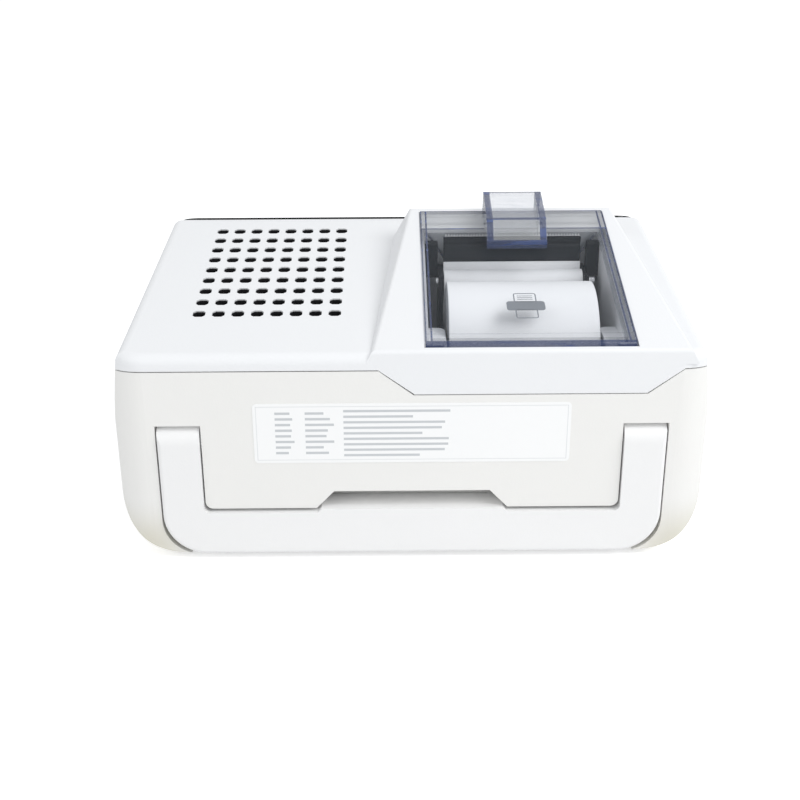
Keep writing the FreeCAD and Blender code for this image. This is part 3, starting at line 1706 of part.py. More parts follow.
def side_fittings():
    """Mains inlet, rocker switch and data ports in the right side wall."""
    outside = "half_width"
    back = "(half_width - inlet_depth)"
    inlet_y = ("inlet_y - inlet_width / 2", "inlet_y + inlet_width / 2")
    inlet_z = ("inlet_z - inlet_height / 2", "inlet_z + inlet_height / 2")
    shell = box("inlet_shell", (back, outside), inlet_y, inlet_z)
    socket = box(
        "inlet_socket",
        (f"{back} + 3", f"{outside} + 1"),
        ("inlet_y - inlet_width / 2 + inlet_flange", "inlet_y + inlet_width / 2 - inlet_flange"),
        ("inlet_z - inlet_height / 2 + inlet_flange", "inlet_z + inlet_height / 2 - inlet_flange"),
    )
    node(cut("mains_inlet", shell, socket))
    blades = [
        box(
            f"inlet_blade_{n}",
            (f"{back} + 3", f"{outside} - 3"),
            (f"inlet_y + {7 * (n - 1)} - 1", f"inlet_y + {7 * (n - 1)} + 1"),
            (f"inlet_z + {lift} - 2", f"inlet_z + {lift} + 2"),
        )
        for n, lift in enumerate((-2, 2, -2))
    ]
    node(group("inlet_blades", *blades))
    rocker_y = ("rocker_y - rocker_width / 2", "rocker_y + rocker_width / 2")
    rocker_z = ("inlet_z - rocker_height / 2", "inlet_z + rocker_height / 2")
    case = box("switch_case", (f"{back} + 4", outside), rocker_y, rocker_z)
    seats = rod(
        "switch_seats",
        "y",
        "trunnion_radius + hinge_play",
        "half_width - rocker_axis",
        "rocker_y - rocker_width / 2 + trunnion_end - hinge_play",
        "inlet_z",
        "rocker_width - 2 * trunnion_end + 2 * hinge_play",
    )
    room = box(
        "switch_room",
        (f"{back} + 5", f"{outside} + 1"),
        ("rocker_y - rocker_width / 2 + 1", "rocker_y + rocker_width / 2 - 1"),
        ("inlet_z - rocker_height / 2 + 1", "inlet_z + rocker_height / 2 - 1"),
    )
    node(cut("switch_frame", case, room, seats))
    key = prism(
        "rocker_key",
        "XZ_Plane",
        [
            ("-5", "-6"),
            ("1.6", "-rocker_height / 2 + 2"),
            ("0.8", "0"),
            ("1.6", "rocker_height / 2 - 2"),
            ("-5", "6"),
        ],
        "rocker_width - 2.8",
        "0",
    )
    trunnions = rod(
        "rocker_trunnions",
        "y",
        "trunnion_radius",
        "0",
        "trunnion_end - rocker_width / 2",
        "0",
        "rocker_width - 2 * trunnion_end",
    )
    rocker = fuse("switch_rocker", key, trunnions)
    rocker.Placement = Placement(Vector(), Rotation(AXES["y"], number("rocker_tilt")))
    tie(rocker, "Placement.Base.x", "half_width - rocker_axis")
    tie(rocker, "Placement.Base.y", "rocker_y")
    tie(rocker, "Placement.Base.z", "inlet_z")
    tie(rocker, "Placement.Rotation.Angle", "rocker_tilt")
    node(rocker)
    port_y = ("port_y - port_width / 2", "port_y + port_width / 2")
    for name, low in (("data_port_lower", "inlet_z - port_height - 1"), ("data_port_upper", "inlet_z + 1")):
        can = box(name + "_can", (f"{outside} - 15", outside), port_y, (low, f"{low} + port_height"))
        mouth = box(
            name + "_mouth",
            (f"{outside} - 14", f"{outside} + 1"),
            ("port_y - port_width / 2 + 0.6", "port_y + port_width / 2 - 0.6"),
            (f"{low} + 0.6", f"{low} + port_height - 0.6"),
        )
        blade = box(
            name + "_blade",
            (f"{outside} - 14", f"{outside} - 2"),
            ("port_y - port_width / 2 + 1.6", "port_y + port_width / 2 - 1.6"),
            (f"{low} + 3.6", f"{low} + 5.2"),
        )
        node(fuse(name, cut(name + "_shell", can, mouth), blade))


def speaker():
    return node(
        rod("loudspeaker", "z", "speaker_radius", "speaker_x", "speaker_y", "tub_floor", "speaker_depth")
    )


CASE = rounded_case()
CASE_INSIDE = case_form("case_inside", "wall")
BUILDERS = (
    lower_shell,
    upper_shell,
    printer_bay,
    printer_frame,
    print_head,
    feed_motor,
    paper_roll,
    roll_core,
    platen,
    printer_lid,
    lid_pins,
    handle,
    handle_pins,
    feet,
    case_screws,
    fan,
    screen,
    boards,
    battery_pack,
    tray_frame,
    tray_rails,
    card_tray,
    tray_drive,
    optics,
    power_button,
    side_fittings,
    speaker,
)
for builder in BUILDERS:
    builder()
doc.recompute()

failed = [thing.Label for thing in doc.Objects if {"Invalid", "Error"} & set(thing.State)]
if failed:
    raise RuntimeError(f"these did not build: {failed}")
os.makedirs("parts", exist_ok=True)
for piece in NODES:
    if piece.Shape.isNull() or not piece.Shape.isValid():
        raise RuntimeError(f"{piece.Label} has no sound shape")
for piece in NODES:
    piece.Shape.exportStep(f"parts/{piece.Label}.step")
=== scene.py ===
import json
import math

import bmesh
import bpy
from mathutils import Matrix, Vector


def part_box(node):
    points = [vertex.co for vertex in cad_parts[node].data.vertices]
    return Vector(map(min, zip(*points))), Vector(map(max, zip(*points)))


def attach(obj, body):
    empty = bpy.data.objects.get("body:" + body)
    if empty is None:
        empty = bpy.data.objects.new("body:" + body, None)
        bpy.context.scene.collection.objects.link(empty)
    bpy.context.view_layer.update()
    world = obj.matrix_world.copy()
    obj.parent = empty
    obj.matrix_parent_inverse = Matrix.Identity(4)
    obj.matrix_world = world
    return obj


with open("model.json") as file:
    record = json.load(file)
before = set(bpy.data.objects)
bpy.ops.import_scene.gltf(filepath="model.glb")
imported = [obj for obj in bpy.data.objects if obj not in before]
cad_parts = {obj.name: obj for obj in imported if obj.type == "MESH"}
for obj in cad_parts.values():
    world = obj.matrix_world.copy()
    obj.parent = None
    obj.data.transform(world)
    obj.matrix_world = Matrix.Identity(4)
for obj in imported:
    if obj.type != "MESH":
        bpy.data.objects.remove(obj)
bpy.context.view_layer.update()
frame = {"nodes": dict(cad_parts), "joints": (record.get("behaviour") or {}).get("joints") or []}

bl_info = {
    "name": "Immunoassay analyzer",
    "version": (1, 0, 0),
    "blender": (4, 5, 0),
    "location": "View3D > Sidebar > Analyzer",
    "description": "Dresses the analyzer's solids with finishes and fine detail",
    "category": "Object",
}

MM = 0.001
NODES = frame["nodes"]


def low(node):
    """The low corner of a node's box."""
    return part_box(node)[0]


def high(node):
    """The high corner of a node's box."""
    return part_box(node)[1]


def centre(node):
    """The middle of a node's box."""
    return (low(node) + high(node)) / 2


def joint(name):
    """The joint of that name."""
    return next(each for each in frame["joints"] if each["name"] == name)


def mm(length):
    """A length in metres, as the frame gives it, in millimetres."""
    return length / MM


# The clear lid: its slope, its hinge, and the foot of its skin at the near edge
LID_SLOPE = math.radians(16.5)
LID_ALONG = Vector((0, math.cos(LID_SLOPE), math.sin(LID_SLOPE)))
LID_UP = Vector((0, -math.sin(LID_SLOPE), math.cos(LID_SLOPE)))
LID_HINGE = Vector(joint("lid_hinge")["pos_m"])
HINGE_FROM_EDGE = 3.5 * MM
HINGE_BELOW_SKIN = 2.9 * MM
LID_FOOT = LID_HINGE - LID_ALONG * HINGE_FROM_EDGE + LID_UP * HINGE_BELOW_SKIN
LID_MIDDLE = centre("printer_lid").x
LID_HALF = (high("printer_lid").x - low("printer_lid").x) / 2
LID_LENGTH = 95 * MM
LID_WALL = 2.2 * MM
LID_SKIN = 0.6 * MM
PRINT_GAP = 0.03 * MM
PRINT_THICK = 0.04 * MM

# The printer under the lid
ROLL_AXIS = centre("roll_core")
ROLL_RADIUS = ROLL_AXIS.z - low("paper_roll").z
PAPER_LEFT = low("paper_roll").x
PAPER_RIGHT = high("paper_roll").x
HEAD_TOP = high("print_head").z
COVER_REAR = low("print_head").y + 0.2 * MM
COVER_TOP = 103.2 * MM
COVER_DEPTH = 3.3 * MM
BAY_LEFT = low("printer_bay").x
BAY_RIGHT = high("printer_bay").x

# The vent in the roof, and the foot of the roof above the rear face
REAR = low("lower_shell").y
ROOF_FOOT = 82.0 * MM
FAN_AXIS = Vector(joint("fan_spin")["axis"]).normalized()
VENT_MIDDLE = centre("fan_rotor")
VENT_HALF_WIDTH = 31.0 * MM
VENT_HALF_LENGTH = 45.0 * MM

# The rating label on the rear face
LABEL_HALF_WIDTH = 58.0 * MM
LABEL_HALF_HEIGHT = 11.8 * MM
LABEL_MIDDLE = 51.9 * MM
LABEL_CORNER = 1.6 * MM
LABEL_THICK = 0.14 * MM
LABEL_GAP = 0.02 * MM

# The camera and the stage
CAMERA_PLACE = (-0.0064, -0.4988, 0.2281)
CAMERA_SENSOR = 36.0
CAMERA_LENS = 53.17
CAMERA_DOWN = math.radians(22.46)
CAMERA_LEFT = math.radians(-0.3)
CAMERA_ROLL = math.radians(-0.29)
LAMP_TARGET = Vector((0, -0.01, 0.05))
FLOOR_CORNERS = ((-6, -4), (6, -4), (6, 9), (-6, 9))
FLOOR_GAP = 0.2 * MM
FLOOR_GLOW = 0.5

# Sockets of the Mix node that blend colours
MIX_FACTOR, MIX_FIRST, MIX_SECOND = 0, 6, 7
MIX_COLOUR = 2


# Shader maths


class Wire:
    """A socket of a node tree. Each operator adds the Math node that works it out."""

    def __init__(self, work, socket):
        self.work = work
        self.socket = socket

    def _math(self, operation, *values):
        return self.work.add("ShaderNodeMath", {"operation": operation}, dict(enumerate(values)))

    def __add__(self, other):
        return self._math("ADD", self, other)

    def __radd__(self, other):
        return self._math("ADD", other, self)

    def __sub__(self, other):
        return self._math("SUBTRACT", self, other)

    def __rsub__(self, other):
        return self._math("SUBTRACT", other, self)

    def __mul__(self, other):
        return self._math("MULTIPLY", self, other)

    def __rmul__(self, other):
        return self._math("MULTIPLY", other, self)

    def __truediv__(self, other):
        return self._math("DIVIDE", self, other)

    def __rtruediv__(self, other):
        return self._math("DIVIDE", other, self)

    def __abs__(self):
        return self._math("ABSOLUTE", self)

    def least(self, other):
        return self._math("MINIMUM", self, other)

    def most(self, other):
        return self._math("MAXIMUM", self, other)

    def root(self):
        return self._math("SQRT", self)

    def sine(self):
        return self._math("SINE", self)

    def fraction(self):
        return self._math("FRACT", self)

    def rise(self, start, end):
        """0 before start, 1 past end, smooth between them. A start above end gives the reverse."""
        made = self.work.add(
            "ShaderNodeMapRange",
            {"interpolation_type": "SMOOTHSTEP"},
            {"Value": self, "From Min": min(start, end), "From Max": max(start, end)},
            output="Result",
        )
        return 1.0 - made if start > end else made


class NodeWork:
    """A node tree under construction. Its sockets are handed out as Wires."""

    def __init__(self, tree):
        self.tree = tree
        self.tree.nodes.clear()

    def add(self, kind, settings=None, values=None, output=0):
        """Adds a node: its settings first, then the values or links of its sockets."""
        node = self.tree.nodes.new(kind)
        for name, setting in (settings or {}).items():
            setattr(node, name, setting)
        for name, value in (values or {}).items():
            if isinstance(value, Wire):
                self.tree.links.new(value.socket, node.inputs[name])
            else:
                node.inputs[name].default_value = value
        return Wire(self, node.outputs[output])

    def close(self, kind, wire, name="Surface"):
        """Ends the tree in its output node."""
        out = self.tree.nodes.new(kind)
        self.tree.links.new(wire.socket, out.inputs[name])


class Finish(NodeWork):
    """A material under construction, with its position in millimetres at hand."""

    def __init__(self, name):
        self.material = bpy.data.materials.new(name)
        self.material.use_nodes = True
        super().__init__(self.material.node_tree)
        self.place = self.add("ShaderNodeTexCoord", output="Object")
        parts = self.add("ShaderNodeSeparateXYZ", values={"Vector": self.place}).socket.node
        self.x, self.y, self.z = (Wire(self, parts.outputs[axis]) * 1000.0 for axis in "XYZ")

    def noise(self, size_mm, detail=2.0, roughness=0.5, stretch=None):
        """Even noise from 0 to 1 whose patches measure size_mm."""
        place = self.place
        if stretch:
            place = self.add("ShaderNodeMapping", values={"Vector": place, "Scale": stretch})
        return self.add(
            "ShaderNodeTexNoise",
            values={"Vector": place, "Scale": 1000.0 / size_mm, "Detail": detail, "Roughness": roughness},
            output="Fac",
        )

    def cells(self, size_mm):
        """The distance from the middle of the nearest cell of a scattered pattern."""
        values = {"Vector": self.place, "Scale": 1000.0 / size_mm}
        return self.add("ShaderNodeTexVoronoi", values=values, output="Distance")

    def blend(self, factor, first, second):
        """A colour that goes from the first to the second as factor rises."""
        settings = {"data_type": "RGBA", "clamp_factor": True}
        values = {MIX_FACTOR: factor, MIX_FIRST: opaque(first), MIX_SECOND: opaque(second)}
        return self.add("ShaderNodeMix", settings, values, output=MIX_COLOUR)

    def bump(self, height, depth_mm):
        """Fine relief, depth_mm deep where height goes from 0 to 1."""
        values = {"Height": height, "Distance": depth_mm * MM, "Strength": 1.0}
        return self.add("ShaderNodeBump", values=values, output="Normal")

    def surface(self, **values):
        """The main shader, its sockets named in small letters with underscores for spaces."""
        sockets = {}
        for words, value in values.items():
            name = words.replace("_", " ").title().replace("Ior", "IOR")
            sockets[name] = opaque(value) if words == "base_color" else value
        return self.add("ShaderNodeBsdfPrincipled", values=sockets, output="BSDF")

    def done(self, shader):
        """The finished material."""
        self.close("ShaderNodeOutputMaterial", shader)
        return self.material


def opaque(colour):
    """A plain colour with the full alpha that sockets want. A Wire stays as it is."""
    return colour if isinstance(colour, Wire) else (*colour[:3], 1.0)


def scaled(colour, share):
    """A colour with each part multiplied by share."""
    return tuple(part * share for part in colour[:3])


def within(value, middle, half):
    """1 where value lies no further than half from middle."""
    return (half - abs(value - middle)).rise(-0.5, 0.5)


def line(value, place, width):
    """A line where value is place, width to each side of it."""
    return abs(value - place).rise(width, width * 0.5)


# Finishes


def moulded_plastic(name, colour, grain, gloss=0.46, low_tint=None, painted_vent_shade=False):
    """Spark-textured housing plastic, with a darker, yellower tint low on its sides if asked, and painted
    shade darkening the vent's slot walls if asked.
    """
    f = Finish(name)
    shade = f.noise(38.0, 3.0) * 0.7 + f.noise(7.0, 2.0) * 0.3
    tone = f.blend(shade, scaled(colour, 0.975), colour)
    if low_tint:
        # A darker, yellower tint low on the sides, towards the corners.
        tint_top, tint_full = 26.0, 4.0
        flat_end, corner_start = 78.0, 100.0
        foot = f.z.rise(tint_top, tint_full) * abs(f.x).rise(flat_end, corner_start)
        tone = f.blend(foot * (0.5 + 0.5 * shade) * 0.9, tone, low_tint)
    if painted_vent_shade:
        # Painted shade: under the vent, the slot walls more than about half a millimetre deep turn near
        # black.
        depth = (f.y - mm(REAR)) * abs(FAN_AXIS.y) + (mm(ROOF_FOOT) - f.z) * FAN_AXIS.z
        field = within(f.x, mm(VENT_MIDDLE.x), mm(VENT_HALF_WIDTH))
        field = field * within(f.y, mm(VENT_MIDDLE.y), mm(VENT_HALF_LENGTH))
        tone = f.blend(depth.rise(0.35, 0.7) * field, tone, (0.012, 0.012, 0.014))
    texture = f.noise(grain, 2.0, 0.6) * 0.7 + f.cells(grain * 2.0) * 0.3
    rough = gloss + 0.10 * f.noise(14.0, 2.0) + 0.05 * texture
    return f.done(
        f.surface(base_color=tone, roughness=rough, normal=f.bump(texture, 0.035), specular_ior_level=0.42)
    )


def plain_plastic(name, colour, gloss=0.38, shine=0.5):
    """Inner moulded plastic with flow marks."""
    f = Finish(name)
    flow = f.noise(9.0, 3.0, 0.6, stretch=(1.0, 0.35, 1.0))
    fine = f.noise(0.5, 2.0)
    tone = f.blend(flow, scaled(colour, 0.88), colour)
    rough = gloss + 0.12 * flow
    return f.done(
        f.surface(base_color=tone, roughness=rough, normal=f.bump(fine, 0.02), specular_ior_level=shine)
    )


def turned_metal(name, colour, gloss=0.26, lines=(1.0, 14.0, 14.0)):
    """Metal with fine machining lines and faint smears."""
    f = Finish(name)
    scratch = f.noise(0.9, 3.0, 0.7, stretch=lines)
    smear = f.noise(6.0, 2.0)
    tone = f.blend(smear, scaled(colour, 0.86), colour)
    rough = gloss + 0.16 * scratch
    return f.done(
        f.surface(base_color=tone, roughness=rough, metallic=1.0, normal=f.bump(scratch, 0.006))
    )


def soft_rubber(name, colour):
    """Rubber with a fine grain and a little dust."""
    f = Finish(name)
    grain = f.noise(0.6, 3.0, 0.65)
    dust = f.noise(5.0, 3.0).rise(0.52, 0.75)
    tone = f.blend(dust * 0.35, colour, (0.16, 0.16, 0.165))
    return f.done(f.surface(base_color=tone, roughness=0.72 + 0.14 * grain, normal=f.bump(grain, 0.03)))


def lid_plastic(name, clear, edge, show):
    """Clear moulded plastic that looks deep blue where its edges gather the light.

    Places on the lid are in millimetres: along it from its foot, across it from its middle,
    and the rise above its skin.
    """
    f = Finish(name)
    run, climb = math.cos(LID_SLOPE), math.sin(LID_SLOPE)
    back, up = mm(LID_FOOT.y), mm(LID_FOOT.z)
    along = (f.y - back) * run + (f.z - up) * climb
    rise = (f.z - up) * run - (f.y - back) * climb
    across = abs(f.x - mm(LID_MIDDLE))
    half, length, wall = mm(LID_HALF), mm(LID_LENGTH), mm(LID_WALL)
    near_band, near_groove, far_strip = 2.6, 7.0, 80.5
    apron_foot, apron_half, apron_lean = -17.6, 28.0, 0.62
    grip_side, grip_inner, grip_foot, grip_top = 10.8, 9.6, 65.2, 9.3

    plate = rise.rise(0.75, 0.65)
    skin = rise.rise(-1.2, -0.8)
    far = line(along, length, 0.6) * skin
    sides = line(across, half, 0.55).most(line(across, half - wall, 0.45))
    rim = (sides * (0.3 + 0.7 * skin)).most(far)
    near = along.rise(near_band + 0.5, near_band).most(line(along, near_groove, 0.25) * 0.4)
    slanted = apron_half + (rise + 18.0) * apron_lean
    apron = line(slanted - across, 0.6, 0.7).most(line(rise, apron_foot, 0.7)) * rise.rise(-5.0, -7.0)
    apron = apron.most(line(along, far_strip + 0.1, 0.7) * plate * skin)
    grip = line(across, grip_side, 1.6).most(line(across, grip_inner, 0.4)).most(line(along, grip_foot, 0.8))
    grip = grip.most(line(rise, grip_top, 0.4)) * (1.0 - plate) * across.rise(12.6, 12.4)
    edges = (rim.most(near) * plate).most(apron * 0.9).most(grip * 0.95)
    # Painted light: a pale tone on the lid's far strip, lightening the shaded bay seen behind it, and on the
    # grip that stands above the plate.
    painted_light = (along.rise(far_strip, far_strip + 0.5) * plate).most((1.0 - plate) * 0.8)

    smear = f.noise(22.0, 3.0).rise(0.45, 0.8)
    streak = f.noise(3.0, 2.0, 0.6, stretch=(0.12, 1.0, 1.0)).rise(0.5, 0.7)
    veil = f.add("ShaderNodeLayerWeight", values={"Blend": 0.2}, output="Fresnel")
    body = (show + 0.01 * smear + 0.05 * veil).most(edges * (0.78 + 0.2 * streak)).most(painted_light * 0.34)
    edge_tone = f.blend(streak * 0.4, edge, scaled(edge, 3.0))
    tone = f.blend(edges, f.blend(painted_light, clear, (0.84, 0.86, 0.88)), edge_tone)
    shine = f.surface(
        base_color=tone,
        roughness=0.05 + 0.09 * smear,
        normal=f.bump(f.noise(16.0, 2.0), 0.05),
        ior=1.49,
        coat_weight=0.25,
    )
    air = f.add("ShaderNodeBsdfTransparent", values={"Color": (0.99, 0.993, 1.0, 1.0)}, output="BSDF")
    return f.done(f.add("ShaderNodeMixShader", values={0: body, 1: air, 2: shine}, output="Shader"))


def thermal_paper(name, colour):
    """Paper whose wound edges show as rings on the ends of the roll."""
    f = Finish(name)
    away_y = f.y - mm(ROLL_AXIS.y)
    away_z = f.z - mm(ROLL_AXIS.z)
    radius = (away_y * away_y + away_z * away_z).root()
    half = mm(PAPER_RIGHT - PAPER_LEFT) / 2
    middle = mm(centre("paper_roll").x)
    outer = mm(ROLL_RADIUS)
    end_face = abs(f.x - middle).rise(half - 0.25, half - 0.05) * radius.rise(outer + 0.3, outer)
    wound = (radius * 5.2 + f.noise(9.0, 2.0) * 2.2).sine() * 0.5 + 0.5
    layers = (radius * 1.4 + f.noise(14.0, 1.0) * 3.0).sine().rise(0.55, 1.0)
    dark = end_face * (wound * 0.35 + layers * 0.75 * f.noise(11.0, 1.0).rise(0.35, 0.65))
    fibre = f.noise(0.8, 3.0, 0.6, stretch=(0.5, 1.6, 1.6))
    tone = f.blend(fibre, scaled(colour, 0.965), colour)
    tone = f.blend(dark, tone, (0.20, 0.21, 0.24))
    return f.done(f.surface(base_color=tone, roughness=0.52 + 0.1 * fibre, normal=f.bump(fibre, 0.012)))


def pressed_board(name, colour):
    """Grey-brown board of pressed fibres with darker specks."""
    f = Finish(name)
    fibre = f.noise(1.2, 4.0, 0.7)
    speck = f.noise(0.7, 2.0).rise(0.62, 0.72)
    tone = f.blend(speck * 0.5, f.blend(fibre, scaled(colour, 0.8), colour), scaled(colour, 0.5))
    return f.done(f.surface(base_color=tone, roughness=0.85, normal=f.bump(fibre, 0.05)))


def dark_screen(name, glass, field):
    """Cover glass: a black border round the faintly lighter field of the display."""
    f = Finish(name)
    start, end = low("display_module"), high("display_module")
    side_border, end_border, soft = 3.0, 4.0, 0.3
    half = mm(end.x - start.x) / 2 - side_border
    near, far = mm(start.y) + end_border, mm(end.y) - end_border
    across = abs(f.x).rise(half + soft, half - soft)
    inside = across * (f.y.rise(near - soft, near + soft) * f.y.rise(far + soft, far - soft))
    smear = f.noise(30.0, 4.0, 0.6).rise(0.5, 0.85)
    return f.done(
        f.surface(
            base_color=f.blend(inside, glass, field),
            roughness=0.04 + 0.10 * smear + 0.03 * inside,
            specular_ior_level=0.3,
            coat_weight=0.15,
            coat_roughness=0.03,
            normal=f.bump(f.noise(40.0, 1.0), 0.02),
        )
    )


def circuit_board(name, mask, copper):
    """Solder mask over tracks."""
    f = Finish(name)
    lanes = ((f.x * 0.62).fraction() - 0.5).rise(0.18, 0.24) * f.noise(13.0, 1.0).rise(0.42, 0.5)
    crossings = ((f.y * 0.48).fraction() - 0.5).rise(0.22, 0.28) * f.noise(17.0, 1.0).rise(0.5, 0.58)
    tracks = lanes.most(crossings)
    pads = f.cells(3.6).rise(0.34, 0.28) * f.noise(9.0, 1.0).rise(0.52, 0.6)
    tone = f.blend(pads, f.blend(tracks * 0.6, mask, scaled(mask, 1.6)), copper)
    rough = 0.3 + 0.1 * tracks
    return f.done(
        f.surface(base_color=tone, roughness=rough, metallic=pads * 0.8, normal=f.bump(tracks, 0.03))
    )


def shrunk_sleeve(name, colour):
    """A wrinkled plastic sleeve with one pale band round it."""
    f = Finish(name)
    wrinkle = f.noise(7.0, 3.0, 0.6, stretch=(1.0, 0.3, 1.0))
    band = f.y.rise(-24.0, -24.6) * f.y.rise(-30.0, -29.4)
    tone = f.blend(band, f.blend(wrinkle, scaled(colour, 0.8), colour), (0.75, 0.76, 0.78))
    return f.done(f.surface(base_color=tone, roughness=0.22 + 0.1 * wrinkle, normal=f.bump(wrinkle, 0.12)))


def sticker_film(name, colour, ink, columns):
    """Coated film with a thin frame and columns of blank bars of uneven length.

    A column is its left end, right end, bottom, top and the pitch of its rows, in millimetres.
    """
    f = Finish(name)
    edge = (mm(LABEL_HALF_WIDTH) - abs(f.x)).least(mm(LABEL_HALF_HEIGHT) - abs(f.z - mm(LABEL_MIDDLE)))
    marks = edge.rise(1.0, 1.12) * edge.rise(1.4, 1.28) * 0.5
    for left, right, bottom, top, pitch in columns:
        row = (f.z - bottom) / pitch
        bar = abs(row.fraction() - 0.5).rise(0.24, 0.18)
        uneven = f.add(
            "ShaderNodeTexWhiteNoise",
            {"noise_dimensions": "1D"},
            {"W": row - row.fraction() + left},
            output="Value",
        )
        end = right - uneven * (right - left) * 0.45
        wide = (f.x - left).least(end - f.x).rise(-0.05, 0.05)
        tall = (f.z - bottom).least(top - f.z).rise(-0.05, 0.05)
        marks = marks.most(bar * (wide * tall))
    return f.done(
        f.surface(
            base_color=f.blend(marks, colour, ink),
            roughness=0.3 + 0.06 * f.noise(12.0, 2.0),
            normal=f.bump(f.noise(0.5, 2.0), 0.006),
            coat_weight=0.15,
        )
    )


def printed_ink(name, colour):
    """Flat ink with a little grain."""
    f = Finish(name)
    grain = f.noise(0.4, 2.0)
    tone = f.blend(grain, scaled(colour, 0.85), colour)
    return f.done(f.surface(base_color=tone, roughness=0.5 + 0.1 * grain))


def clear_glass(name, colour):
    """Hazy glass of the small optical pieces."""
    f = Finish(name)
    haze = f.noise(3.0, 2.0)
    return f.done(f.surface(base_color=colour, roughness=0.06 + 0.06 * haze, coat_weight=0.5))


# Mesh helpers


def mesh_object(name, build, *sizes):
    """A new object whose mesh the function build fills."""
    made = bmesh.new()
    build(made, *sizes)
    bmesh.ops.remove_doubles(made, verts=made.verts, dist=1e-7)
    bmesh.ops.recalc_face_normals(made, faces=made.faces)
    mesh = bpy.data.meshes.new(name)
    made.to_mesh(mesh)
    made.free()
    return placed(name, mesh)


def placed(name, data):
    """An object of that data in the scene."""
    piece = bpy.data.objects.new(name, data)
    bpy.context.scene.collection.objects.link(piece)
    return piece


def slab(made, outline, lift):
    """A flat closed plate: an outline of points, and the vector of its thickness."""
    bottom = [made.verts.new(point) for point in outline]
    top = [made.verts.new(Vector(point) + lift) for point in outline]
    made.faces.new(bottom)
    made.faces.new(reversed(top))
    for here in range(len(outline)):
        after = (here + 1) % len(outline)
        made.faces.new((bottom[here], bottom[after], top[after], top[here]))


def rounded_outline(half_u, half_v, radius):
    """Points round a rectangle with round corners, about its middle."""
    steps = 6
    points = []
    for corner, (sign_u, sign_v) in enumerate(((1, 1), (-1, 1), (-1, -1), (1, -1))):
        for step in range(steps + 1):
            angle = math.radians(90 * (corner + step / steps))
            u = sign_u * (half_u - radius) + radius * math.cos(angle)
            v = sign_v * (half_v - radius) + radius * math.sin(angle)
            points.append((u, v))
    return points


def soften(piece, radius):
    """Rounds the sharp edges."""
    bevel = piece.modifiers.new("soft_edges", "BEVEL")
    bevel.width = radius
    bevel.segments = 3
    bevel.limit_method = "ANGLE"
    bevel.angle_limit = math.radians(35)
    return piece


def finish_piece(piece, material, body):
    """Gives a piece its material and the body that it rides on."""
    piece.data.materials.clear()
    piece.data.materials.append(material)
    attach(piece, body)


def dress(material, *names):
    """Gives CAD nodes their finish."""
    for name in names:
        mesh = NODES[name].data
        mesh.materials.clear()
        mesh.materials.append(material)


# Pieces of the printer


def head_cover(made):
    """The cover over the print head, with a rounded back and a groove along its rear."""
    rear, front = COVER_REAR, COVER_REAR + COVER_DEPTH
    top, foot = COVER_TOP, HEAD_TOP + 0.2 * MM
    round_start, groove_depth = 2.2 * MM, 0.5 * MM
    profile = [
        (rear, foot),
        (front, foot),
        (front, top - round_start),
        (front - 0.6 * MM, top - 0.7 * MM),
        (front - 1.8 * MM, top),
        (rear, top),
        (rear, top - round_start),
        (rear + groove_depth, top - 2.6 * MM),
        (rear + groove_depth, top - 3.4 * MM),
        (rear, top - 3.8 * MM),
    ]
    start, end = low("print_head").x, high("print_head").x
    slab(made, [(start, y, z) for y, z in profile], Vector((end - start, 0, 0)))


def bracket(made, start, end):
    """A side bracket of the printer: an upright plate with a rounded head and a foot."""
    rear, front = COVER_REAR - 0.1 * MM, COVER_REAR + COVER_DEPTH
    head_radius = 1.7 * MM
    head_y, head_z = COVER_REAR + 1.6 * MM, COVER_TOP - 3.4 * MM
    shoulder, foot = COVER_TOP - 6 * MM, HEAD_TOP - 3 * MM
    profile = [(front, foot)]
    for step in range(13):
        angle = math.radians(15 * step)
        profile.append((head_y + head_radius * math.cos(angle), head_z + head_radius * math.sin(angle)))
    profile += [(rear, shoulder), (rear, foot)]
    slab(made, [(start, y, z) for y, z in profile], Vector((end - start, 0, 0)))


def corner_shelf(made, wall, inner):
    """A small shelf in a near corner of the bay, with one round corner beside the paper roll."""
    near, far = LID_HINGE.y + 3.5 * MM, LID_HINGE.y + 31 * MM
    top = low("printer_lid").z + 0.5 * MM
    radius, thickness = 3 * MM, 2 * MM
    turn = math.copysign(radius, inner - wall)
    outline = [(wall, near), (inner, near)]
    for step in range(7):
        angle = math.radians(15 * step)
        outline.append((inner - turn * (1 - math.cos(angle)), far - radius * (1 - math.sin(angle))))
    outline.append((wall, far))
    slab(made, [(x, y, top) for x, y in outline], Vector((0, 0, -thickness)))


# The symbol on the lid, its places in millimetres across the lid and along it


def on_lid(u, v):
    """A point just above the lid's skin."""
    foot = Vector((LID_MIDDLE + u * MM, LID_FOOT.y, LID_FOOT.z))
    return foot + LID_ALONG * v * MM + LID_UP * (LID_SKIN + PRINT_GAP)


def lid_patch(made, middle, half_width, half_length, radius):
    """A printed patch on the lid."""
    outline = rounded_outline(half_width, half_length, radius)
    slab(made, [on_lid(u, middle + v) for u, v in outline], LID_UP * PRINT_THICK)


def lid_frame(made, middle, half_width, half_length, radius, width):
    """The outline of a patch, drawn as a line of that width."""
    outer, inner = (
        [
            on_lid(u, middle + v)
            for u, v in rounded_outline(half_width - cut, half_length - cut, radius - cut)
        ]
        for cut in (0.0, width)
    )
    for here in range(len(outer)):
        after = (here + 1) % len(outer)
        slab(made, [outer[here], outer[after], inner[after], inner[here]], LID_UP * PRINT_THICK)


def paper_symbol(made):
    """A sheet that runs through a printer: a bar, and a sheet's outline on each side of it."""
    bar, far_sheet, near_sheet = 24.6, 29.9, 19.4
    corner, width = 1.0, 0.45
    first_row, row_pitch = 28.9, 1.1
    lid_patch(made, bar, 7.2, 3.0, 1.3)
    lid_frame(made, far_sheet, 4.3, 3.0, corner, width)
    lid_frame(made, near_sheet, 4.2, 2.9, corner, width)
    for row in range(3):
        lid_patch(made, first_row + row_pitch * row, 2.9, 0.16, 0.1)


